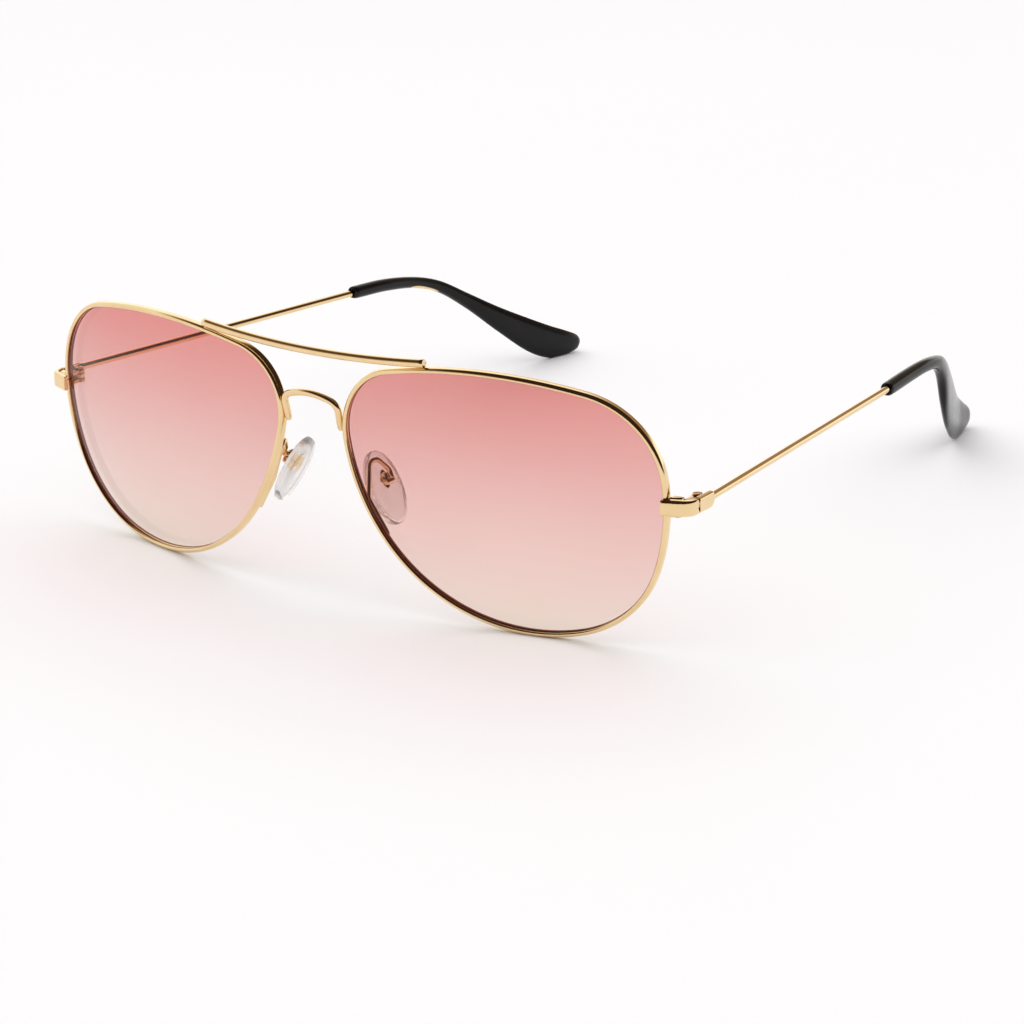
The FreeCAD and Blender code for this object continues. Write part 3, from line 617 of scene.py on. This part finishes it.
# Open notches in the strap's end: (height share, how deep), and half their height share.
NOTCHES = ((0.08, 0.24), (0.42, 0.75), (0.92, 0.42))
NOTCH_REACH = 0.16
STRAP_BOTTOM = 25.74
STRAP_HEIGHT = 2.8
STRAP_THICK = 0.9
BUTT_BOTTOM = 25.78
BUTT_HEIGHT = 2.7


def seam_back(share):
    """How far back the seam runs at this share of the height."""
    for (a, da), (b, db) in zip(SEAM, SEAM[1:]):
        if a <= share <= b:
            return da + (db - da) * (share - a) / (b - a)
    return 0.0


def notch(share):
    """How far the strap's end is cut back here by the seam's open notches."""
    return sum(deep * max(0.0, 1 - abs(share - at) / NOTCH_REACH) for at, deep in NOTCHES)


def strap_section(top_round):
    """Section of the endpiece as (inward, height): big round over the top of its outer face."""
    points = []

    def corner(inward, height, across, up, first):
        for i in range(9):
            t = math.radians(first + 90 * i / 8)
            points.append((inward + across * math.cos(t), height + up * math.sin(t)))

    def rows(low, high, inward):
        points.extend((inward, low + (high - low) * i / 12) for i in range(1, 12))

    small = 0.16
    corner(STRAP_THICK - small, small, small, small, 270)
    corner(STRAP_THICK - small, STRAP_HEIGHT - small, small, small, 0)
    crown, deep = 0.09, 0.36 * top_round
    back = STRAP_THICK - small
    points.extend((back - (back - deep) * i / 6, STRAP_HEIGHT - crown * (i / 6) ** 1.3) for i in range(1, 6))
    corner(deep, STRAP_HEIGHT - top_round, deep, top_round - crown, 90)
    rows(STRAP_HEIGHT - top_round, 0.3, 0.0)
    corner(0.22, 0.3, 0.22, 0.3, 180)
    return points


def make_endpiece(word, side):
    angle, bend = math.radians(23.0), 2.6
    ahead = Vector((math.cos(angle), math.sin(angle), 0))
    back = Vector((-math.sin(angle), math.cos(angle), 0))
    start = Vector((65.6, 6.43, 0))
    run = (70.6 - bend - start.x + bend * math.sin(angle)) / ahead.x
    bend_start = start + ahead * run
    centre = bend_start + back * bend
    line = straight(start, bend_start, 0.15)[:-1]
    line += arc(centre, bend_start, centre + Vector((bend, 0, 0)), 18)[:-1]
    line += straight(Vector((70.6, centre.y, 0)), Vector((70.6, 10.9, 0)), 0.08)
    rings = []
    count = len(line)
    for i, point in enumerate(line):
        ahead_here = (line[min(i + 1, count - 1)] - line[max(i - 1, 0)]).normalized()
        inward = Vector((-ahead_here.y, ahead_here.x, 0))
        share = i / (count - 1)
        ring = []
        shrink = 0.10 * max(0.0, 1 - i / 3) ** 2
        for depth, height in strap_section(0.86 - 0.4 * max(0.0, share - 0.4) / 0.6):
            depth = STRAP_THICK / 2 + (depth - STRAP_THICK / 2) * (1 - shrink / 0.45)
            height = STRAP_HEIGHT / 2 + (height - STRAP_HEIGHT / 2) * (1 - shrink / 1.4)
            p = point + inward * depth
            level = height / STRAP_HEIGHT
            slide = (seam_back(level) - notch(level)) * max(0.0, (share - 0.85) / 0.15)
            ring.append(spot(side, p.x, p.y + slide, STRAP_BOTTOM + height))
        rings.append(ring)
    piece = rings_to_mesh(f"{word}_endpiece_strap", rings, False, sharp=45.0)
    place(piece, f"{word}_endpiece", "front", GOLD)


def make_locks(word, side):
    for half, node in (("lower", f"{word}_rim_lock_lower"), ("upper", f"{word}_rim_lock_upper")):
        low, high = (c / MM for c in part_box(node))
        tan = math.tan(math.radians(23.0))
        inner, outer, rear = 66.36, 68.5, 9.7
        depth = STRAP_THICK / math.cos(math.radians(23.0)) + 0.02
        plan = [(inner, 6.43 + (inner - 65.6) * tan + depth), (outer, 6.43 + (outer - 65.6) * tan + depth),
                (outer, rear), (inner, rear)]
        work = bmesh.new()
        lower = [work.verts.new(spot(side, x, y, low.z)) for x, y in plan]
        upper = [work.verts.new(spot(side, x, y, high.z)) for x, y in plan]
        work.faces.new(lower)
        work.faces.new(upper)
        for i in range(4):
            k = (i + 1) % 4
            work.faces.new((lower[i], lower[k], upper[k], upper[i]))
        far = high.z if half == "upper" else low.z
        big = [e for e in work.edges if all(abs(v.co.z - far) < 1e-4 for v in e.verts)]
        bmesh.ops.bevel(work, geom=big, offset=0.48, segments=6, profile=0.5, affect="EDGES")
        work.transform(Matrix.Scale(MM, 4))
        mesh = bpy.data.meshes.new(node)
        work.to_mesh(mesh)
        work.free()
        place(finish_mesh(f"{node}_block", mesh, 40.0), node, "front", GOLD)
    low, high = (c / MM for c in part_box(f"{word}_rim_lock_screw"))
    centre = (low + high) / 2
    stem = Matrix.Translation(Vector((centre.x, centre.y, 0)))
    screw = lathe(f"{word}_lock_screw", turned(0.6, low.z + 0.02, low.z + 0.46, 0.1) +
                  [(0.45, low.z + 0.46), (0.45, high.z - 0.1), (0.02, high.z)], stem)
    slot = rounded_box("slot", (-1, -0.12, low.z - 0.2), (1, 0.12, low.z + 0.2), 0.02, stem)
    place(carve(screw, slot), f"{word}_rim_lock_screw", "front", GOLD_PAINTED_SHADE)


KNUCKLES = {"lower": (25.43, 0.75), "middle": (26.23, 0.85), "upper": (27.13, 0.75)}


def make_hinge(word, side):
    axis = joint_at(f"{word}_temple_fold")
    stem = Matrix.Translation(Vector((axis.x, axis.y, 0)))
    bottom, top = KNUCKLES["lower"][0], sum(KNUCKLES["upper"])
    y0 = REFERENCE_Y
    parts = [rounded_box("leaf", (side * 67.5 if side > 0 else -69.6, 9.85 + y0, bottom),
                         (69.6 if side > 0 else -67.5, 10.85 + y0, top), 0.15)]
    for level in ("lower", "upper"):
        low, tall = KNUCKLES[level]
        parts.append(lathe("knuckle", ring_profile(1.05, 0.52, low, low + tall, 0.12), stem, hollow=True))
        parts.append(rounded_box("arm", (67.7 if side > 0 else -69.2, 9.95 + y0, low),
                                 (69.2 if side > 0 else -67.7, axis.y - 0.55, low + tall), 0.12))
    place(join(f"{word}_hinge_leaf", parts), f"{word}_front_hinge", "front", GOLD_PAINTED_SHADE)
    profile = [(0.02, bottom), (0.42, bottom), (0.5, bottom + 0.08), (0.5, top + 0.02)]
    head = turned(0.85, top + 0.02, top + 0.37, 0.14)[1:]
    screw = lathe(f"{word}_hinge_pin", profile + head, stem)
    turn = stem @ Matrix.Rotation(math.radians(side * 35), 4, "Z")
    slot = rounded_box("slot", (-1.2, -0.15, top + 0.17), (1.2, 0.15, top + 0.8), 0.02, turn)
    place(carve(screw, slot), f"{word}_hinge_screw", "front", GOLD_PAINTED_SHADE)


def butt_section(inner, outer, tall):
    """Section of the butt plate as (x, height): one big round at the top of its outer face."""
    points = []
    small = min(0.16, tall / 4)

    def bend(x, z, across, up, first):
        for k in range(8):
            t = math.radians(first + 90 * k / 7)
            points.append((x + across * math.cos(t), z + up * math.sin(t)))

    bend(outer - 0.2, 0.25, 0.2, 0.25, 270)
    bend(outer - 0.42, tall - 0.6, 0.42, 0.6, 0)
    bend(inner + small, tall - small, small, small, 90)
    bend(inner + small, small, small, small, 180)
    return points


def make_butt(word, side):
    """Plate behind the seam: rounded over its top, like the wire that runs on from it."""
    front, end, corner = 11.05, 15.6, 1.1
    inner, outer = 69.6, 70.6
    rings = []
    count = 40
    for i in range(count + 1):
        y = front + (end - front) * (1 - math.cos(math.pi * i / count)) / 2
        into = max(0.0, y - (end - corner))
        low = corner - math.sqrt(max(corner ** 2 - into ** 2, 0.0))
        drop = 0.16 * max(0.0, (y - (end - 0.3)) / 0.3) ** 2
        fade = max(0.0, 1 - (y - front) / 1.2)
        ring = []
        for x, z in butt_section(inner, outer, BUTT_HEIGHT - low - drop):
            slide = SEAM_GAP + seam_back((low + z) / BUTT_HEIGHT) * fade
            ring.append(spot(side, x, y + slide, BUTT_BOTTOM + low + z))
        rings.append(ring)
    plate = rings_to_mesh("plate", rings, False, sharp=45.0)
    axis = joint_at(f"{word}_temple_fold")
    stem = Matrix.Translation(Vector((axis.x, axis.y, 0)))
    low, tall = KNUCKLES["middle"]
    knuckle = lathe("knuckle", ring_profile(1.05, 0.55, low, low + tall, 0.12), stem, hollow=True)
    x0, x1 = sorted((axis.x + side * 0.6, side * (inner + 0.5)))
    web = rounded_box("web", (x0, axis.y - 0.4, low), (x1, axis.y + 1.0, low + tall), 0.1)
    piece = join(f"{word}_butt_plate", [plate, knuckle, web])
    place(piece, f"{word}_temple_hinge", f"{word}_temple", GOLD)


# --- temples ------------------------------------------------------------------------------

# Temple wires: where their straight runs meet, and the radii of the bends between them. The
# two temples have different bends.
WIRE_RUNS = {
    "left": ((69.77, 15.64, 27.20), (61.78, 102.0, 25.50), (60.50, 116.5, 25.75), (58.25, 124.5, 17.90)),
    "right": ((69.77, 15.64, 27.55), (61.60, 104.0, 25.63), (60.10, 118.5, 21.98), (57.10, 128.5, 16.48)),
}
WIRE_BENDS = {"left": (30.0, 16.0), "right": (30.0, 30.0)}

# Tips: (y, x, top, bottom, half thickness) along each of them.
TIP_STATIONS = {
    "left": (
        (92.3, 62.45, 26.72, 24.42, 1.15),
        (93.0, 62.40, 26.82, 24.22, 1.30),
        (103.0, 61.75, 27.05, 24.45, 1.30),
        (110.0, 61.30, 26.95, 24.45, 1.25),
        (116.0, 60.60, 26.15, 23.40, 1.25),
        (120.5, 59.60, 24.90, 19.80, 1.20),
        (124.8, 58.40, 22.80, 12.90, 1.15),
        (129.5, 56.80, 19.80, 8.00, 1.10),
        (134.3, 55.10, 16.50, 4.80, 1.10),
        (139.0, 53.40, 13.10, 2.20, 1.10),
        (144.0, 51.70, 9.70, 0.35, 1.10),
        (149.5, 50.40, 6.70, 0.06, 1.05),
        (153.5, 49.70, 4.50, 0.70, 0.80),
        (154.7, 49.50, 3.40, 1.70, 0.35),
    ),
    "right": (
        (92.3, 62.45, 27.23, 24.93, 1.15),
        (93.0, 62.40, 27.33, 24.73, 1.30),
        (103.0, 61.75, 26.78, 24.18, 1.30),
        (113.0, 61.10, 25.13, 22.68, 1.25),
        (120.0, 59.80, 22.93, 20.18, 1.20),
        (127.0, 57.60, 19.03, 15.38, 1.15),
        (135.0, 54.90, 14.48, 8.78, 1.10),
        (143.0, 52.40, 10.43, 2.73, 1.10),
        (149.0, 50.75, 7.58, 0.10, 1.10),
        (154.0, 49.60, 5.43, 0.04, 1.05),
        (157.0, 49.05, 3.98, 0.58, 0.80),
        (158.0, 48.90, 2.98, 1.48, 0.35),
    ),
}


def make_temple_wire(word, side):
    points = [spot(side, *point) for point in WIRE_RUNS[word]]
    points[0] -= (points[1] - points[0]).normalized() * 0.5
    piece = tube(f"{word}_temple_rod", rounded_path(points, WIRE_BENDS[word]), 0.675, sides=48, round_end=0.1)
    place(piece, f"{word}_temple_wire", f"{word}_temple", GOLD)


def smooth_at(rows, t):
    """Rows of numbers read off at t by a curve through them (Catmull-Rom, by first column)."""
    for i in range(len(rows) - 1):
        if t <= rows[i + 1][0]:
            break
    a, b = rows[i], rows[i + 1]
    before, after = rows[max(i - 1, 0)], rows[min(i + 2, len(rows) - 1)]
    span = b[0] - a[0]
    s = (t - a[0]) / span
    result = []
    for k in range(1, len(a)):
        slope_a = (b[k] - before[k]) / (b[0] - before[0]) * span
        slope_b = (after[k] - a[k]) / (after[0] - a[0]) * span
        result.append((2 * s ** 3 - 3 * s ** 2 + 1) * a[k] + (s ** 3 - 2 * s ** 2 + s) * slope_a
                      + (-2 * s ** 3 + 3 * s ** 2) * b[k] + (s ** 3 - s ** 2) * slope_b)
    return result


def tip_ring(side, y, x, top, bottom, half, grow=1.0, sides=56):
    """Upright oval section of the tip, a little squarer than an ellipse."""
    centre = spot(side, x, y, (top + bottom) / 2)
    high = (top - bottom) / 2
    ring = []
    for j in range(sides):
        t = 2 * math.pi * j / sides
        c, s = math.cos(t), math.sin(t)
        ring.append(centre + Vector((math.copysign(abs(c) ** 0.9, c) * half * grow, 0,
                                     math.copysign(abs(s) ** 0.9, s) * high * grow)))
    return ring


def make_temple_tip(word, side):
    """Glossy sleeve over the wire, with a chamfered open mouth and a smooth paddle."""
    stations, (start, bend) = TIP_STATIONS[word], WIRE_RUNS[word][:2]
    first, last = stations[0][0], stations[-1][0]

    def bore_ring(y, radius):
        share = (y - start[1]) / (bend[1] - start[1])
        x, z = (start[i] + (bend[i] - start[i]) * share for i in (0, 2))
        return tip_ring(side, y, x, z + radius, z - radius, radius)

    rings = [bore_ring(first + 3.0, 0.69), bore_ring(first + 0.35, 0.72), bore_ring(first + 0.05, 0.80),
             bore_ring(first, 0.90)]
    for grow, back in ((0.90, 0.0), (0.96, 0.06), (0.99, 0.16)):
        x, top, bottom, half = smooth_at(stations, first + back)
        rings.append(tip_ring(side, first + back, x, top, bottom, half, grow))
    count = 150
    for i in range(count + 1):
        y = first + 0.3 + (last - first - 0.3) * i / count
        x, top, bottom, half = smooth_at(stations, y)
        rings.append(tip_ring(side, y, x, top, max(bottom, 0.03), half))
    x, top, bottom, half = stations[-1][1:]
    for grow, back in ((0.8, -0.09), (0.45, -0.02), (0.05, 0.0)):
        rings.append(tip_ring(side, last + back, x, top, bottom, half, grow))
    piece = rings_to_mesh(f"{word}_temple_sleeve", rings, False, sharp=50.0)
    place(piece, f"{word}_temple_tip", f"{word}_temple", BLACK)


# --- nose pads ----------------------------------------------------------------------------


PAD_SPLAY = 8.0
PAD_TILT = 27.6


def pad_matrix(side, word):
    """Frame of a nose pad about its screw: x away from the nose on the left, y back, z up."""
    splay = Matrix.Rotation(math.radians(-side * PAD_SPLAY), 4, "Z")
    tilt = Matrix.Rotation(math.radians(-side * PAD_TILT), 4, "Y")
    return Matrix.Translation(joint_at(f"{word}_pad_rock")) @ (splay @ tilt)


def make_nose_pad(word, side):
    """Soft oval pad: domed towards the nose, and a raised border round its outer face."""
    matrix = pad_matrix(side, word)
    long, wide, thick, out, drop = 13.7 / 2, 7.6 / 2, 2.2, 1.8, 1.4
    count = 96
    outer_face = out - thick / 2
    # (share of the oval's half widths, distance towards the nose)
    border = [(0.02, 0.28), (0.3, 0.28), (0.6, 0.28), (0.72, 0.24), (0.78, 0.06), (0.84, 0.0),
              (0.91, 0.04), (0.965, 0.24), (0.992, 0.55)]
    dome = [(1.0, 0.0), (0.99, 0.35), (0.955, 0.66), (0.88, 0.88), (0.74, 1.02), (0.5, 1.08),
            (0.25, 1.1), (0.02, 1.1)]
    rows = [(share, outer_face + rise) for share, rise in border]
    rows += [(share, out + rise) for share, rise in dome]
    rings = []
    for share, towards in rows:
        ring = []
        for j in range(count):
            t = 2 * math.pi * j / count
            y, z = wide * share * math.cos(t), long * share * math.sin(t) - drop
            ring.append(matrix @ Vector((-side * towards, y, z)))
        rings.append(ring)
    piece = rings_to_mesh(f"{word}_soft_pad", rings, False, sharp=60.0)
    place(piece, f"{word}_nose_pad", f"{word}_pad", CLEAR)


def make_pad_metal(word, side):
    matrix = pad_matrix(side, word)

    def block(name, a, b, c, radius):
        xs = sorted((-side * a[0], -side * a[1]))
        return rounded_box(name, (xs[0], b[0], c[0]), (xs[1], b[1], c[1]), radius, matrix)

    along_y = matrix @ Matrix.Rotation(math.radians(-90), 4, "X")
    oval = matrix @ Matrix.Rotation(math.radians(-90 * side), 4, "Y")
    oval = oval @ Matrix.Diagonal((1.75, 0.85, 1.0, 1.0))
    parts = [lathe("plate", turned(1.0, 0.72, 1.0, 0.1), oval, sides=40),
             block("stem", (0.1, 1.0), (-0.38, 0.38), (-0.4, 0.4), 0.08),
             lathe("eye", ring_profile(0.42, 0.28, -0.4, 0.4, 0.06), along_y, hollow=True, sides=32)]
    place(join(f"{word}_pad_plate", parts), f"{word}_pad_insert", f"{word}_pad", GOLD)
    cup = block(f"{word}_pad_cup", (-0.9, 0.45), (-1.2, 1.2), (-1.2, 1.2), 0.5)
    gap = block("gap", (-0.5, 1.0), (-0.5, 0.5), (-2.0, 2.0), 0.05)
    place(carve(cup, gap), f"{word}_pad_box", "front", GOLD)
    dished = [(0.02, -1.36), (0.26, -1.38), (0.34, -1.54)] + turned(0.55, -1.57, -1.22, 0.12)[2:-1]
    screw = lathe(f"{word}_pad_pin", dished + [(0.25, -1.22), (0.25, 1.1), (0.18, 1.2), (0.02, 1.2)], along_y,
                  sides=40)
    slot = rounded_box("slot", (-0.3, -0.1, -1.8), (0.3, 0.1, -1.3), 0.01, along_y)
    place(carve(screw, slot), f"{word}_pad_screw", "front", GOLD_PAINTED_SHADE)


def rim_place(side, degrees, out, back):
    """A place on a rim: outline normal angle, distance out of the outline, depth behind its middle."""
    turn = math.radians(degrees)
    for centre, radius, start, end in OUTLINE:
        if start <= turn <= end:
            on = centre + (radius + out) * cmath.exp(1j * turn)
    sag = LENS_CURVE - math.sqrt(LENS_CURVE ** 2 - abs(on) ** 2)
    return lens_matrix(side) @ Vector((side * on.real, sag + RIM_SET + back, on.imag))


def make_pad_arm(word, side):
    radius = 0.45
    behind = RIM_DEPTH / 2 + radius + 0.02
    matrix = pad_matrix(side, word)
    beside = side * (0.9 + radius + 0.02)
    points = [rim_place(side, 216, 0.56, behind), rim_place(side, 206, 0.56, behind),
              spot(side, 9.3, 1.6, 28.28),
              matrix @ Vector((beside, -0.3, 1.4)), matrix @ Vector((beside, -0.3, -0.2))]
    line = rounded_path(points, (1.3, 1.3, 1.3), 0.5)
    piece = tube(f"{word}_pad_arm_wire", line, radius, sides=32, round_start=0.25, round_end=0.05)
    place(piece, f"{word}_pad_arm", "front", GOLD, seat=True)


# --- stage --------------------------------------------------------------------------------


def make_floor():
    mesh = bpy.data.meshes.new("floor")
    mesh.from_pydata([(-4, -4, 0), (4, -4, 0), (4, 4, 0), (-4, 4, 0)], [], [(0, 1, 2, 3)])
    floor = bpy.data.objects.new("floor", mesh)
    bpy.context.scene.collection.objects.link(floor)
    n = Nodes("pale_floor")
    shader = n.node("BsdfPrincipled", Roughness=0.9)
    pales = n.ramp(n.noise(3.0), [(0.3, (0.90, 0.895, 0.90)), (0.7, (0.91, 0.905, 0.91))])
    n.link(pales, shader.inputs["Base Color"])
    floor.data.materials.append(n.close(shader.outputs["BSDF"]))


# The dark dome: the direction that it leans in, and its colours by how far towards that it is.
DOME_LEAN = (0.536, -0.349, 0.769)
DOME_STOPS = (
    (0.10, (1.0, 1.0, 1.0)),
    (0.19, (0.60, 0.47, 0.35)),
    (0.28, (0.20, 0.13, 0.08)),
    (0.42, (0.035, 0.02, 0.015)),
)


def dome_colour(tree, direction):
    lean = tree.nodes.new("ShaderNodeVectorMath")
    lean.operation = "DOT_PRODUCT"
    lean.inputs[1].default_value = DOME_LEAN
    tree.links.new(direction, lean.inputs[0])
    ramp = tree.nodes.new("ShaderNodeValToRGB")
    tree.links.new(lean.outputs["Value"], ramp.inputs["Fac"])
    elements = ramp.color_ramp.elements
    while len(elements) < len(DOME_STOPS):
        elements.new(0.5)
    for element, (at, colour) in zip(elements, DOME_STOPS):
        element.position = at
        element.color = (*colour, 1.0)
    return ramp.outputs["Color"]


def panel_cover(tree, parts):
    """How far a direction lies inside the rear panel, from 0 to 1."""
    cover = tree.nodes.new("ShaderNodeMath")
    cover.operation = "MULTIPLY"
    for index, (axis, low, high) in enumerate((("Y", 0.72, 0.84), ("Z", 0.21, 0.33))):
        edge = tree.nodes.new("ShaderNodeMapRange")
        edge.inputs["From Min"].default_value = low
        edge.inputs["From Max"].default_value = high
        tree.links.new(parts.outputs[axis], edge.inputs["Value"])
        tree.links.new(edge.outputs["Result"], cover.inputs[index])
    return cover.outputs["Value"]


def make_world():
    """A pale room under a dark warm dome that leans over towards the wearer's left, with a
    brown panel standing at the rear."""
    world = bpy.data.worlds.new("studio")
    bpy.context.scene.world = world
    world.use_nodes = True
    tree = world.node_tree
    coords = tree.nodes.new("ShaderNodeTexCoord")
    parts = tree.nodes.new("ShaderNodeSeparateXYZ")
    tree.links.new(coords.outputs["Generated"], parts.inputs["Vector"])
    panel = tree.nodes.new("ShaderNodeMix")
    panel.data_type = "RGBA"
    panel.inputs["B"].default_value = (0.27, 0.19, 0.12, 1.0)
    tree.links.new(panel_cover(tree, parts), panel.inputs["Factor"])
    tree.links.new(dome_colour(tree, coords.outputs["Generated"]), panel.inputs["A"])
    rear = tree.nodes.new("ShaderNodeMapRange")
    for key, value in (("From Min", 0.3), ("From Max", 0.7), ("To Min", 1.0), ("To Max", 1.3)):
        rear.inputs[key].default_value = value
    tree.links.new(parts.outputs["Y"], rear.inputs["Value"])
    background = tree.nodes["Background"]
    tree.links.new(panel.outputs["Result"], background.inputs["Color"])
    tree.links.new(rear.outputs["Result"], background.inputs["Strength"])


def make_lights():
    """Broad soft light from above, which the metal doesn't mirror."""
    data = bpy.data.lights.new("overhead", "AREA")
    data.shape = "DISK"
    data.size = 5.0
    data.energy = 78.0
    data.color = (0.97, 0.985, 1.0)
    light = bpy.data.objects.new("overhead", data)
    light.location = (0.0, 0.1, 1.6)
    light.visible_glossy = False
    bpy.context.scene.collection.objects.link(light)


# The camera: yaw, pitch and roll in degrees, focal length, and place from the front's reference.
CAMERA_ANGLES = (34.2357, 18.8829, -0.2874)
CAMERA_LENS = 112.6
CAMERA_PLACE = (328.127, -422.932, 198.503)


def make_camera():
    yaw, pitch, roll = (math.radians(a) for a in CAMERA_ANGLES)
    back = Vector((math.sin(yaw) * math.cos(pitch), -math.cos(yaw) * math.cos(pitch), math.sin(pitch)))
    right = Vector((math.cos(yaw), math.sin(yaw), 0))
    turn = Matrix((right, back.cross(right), back)).transposed() @ Matrix.Rotation(roll, 3, "Z")
    data = bpy.data.cameras.new("camera")
    data.lens = CAMERA_LENS
    data.sensor_width = 36.0
    data.clip_start = 0.01
    camera = bpy.data.objects.new("camera", data)
    place_at = spot(1, *CAMERA_PLACE) * MM
    camera.matrix_world = Matrix.Translation(place_at) @ turn.to_4x4()
    bpy.context.scene.collection.objects.link(camera)
    bpy.context.scene.camera = camera


make_bridge()
make_brow_bar()
for word, side in SIDES.items():
    make_rim(word, side)
    make_lens(word, side)
    make_endpiece(word, side)
    make_locks(word, side)
    make_hinge(word, side)
    make_butt(word, side)
    make_temple_wire(word, side)
    make_temple_tip(word, side)
    make_nose_pad(word, side)
    make_pad_metal(word, side)
    make_pad_arm(word, side)
make_floor()
make_world()
make_lights()
make_camera()
bpy.context.scene.view_settings.view_transform = "Standard"
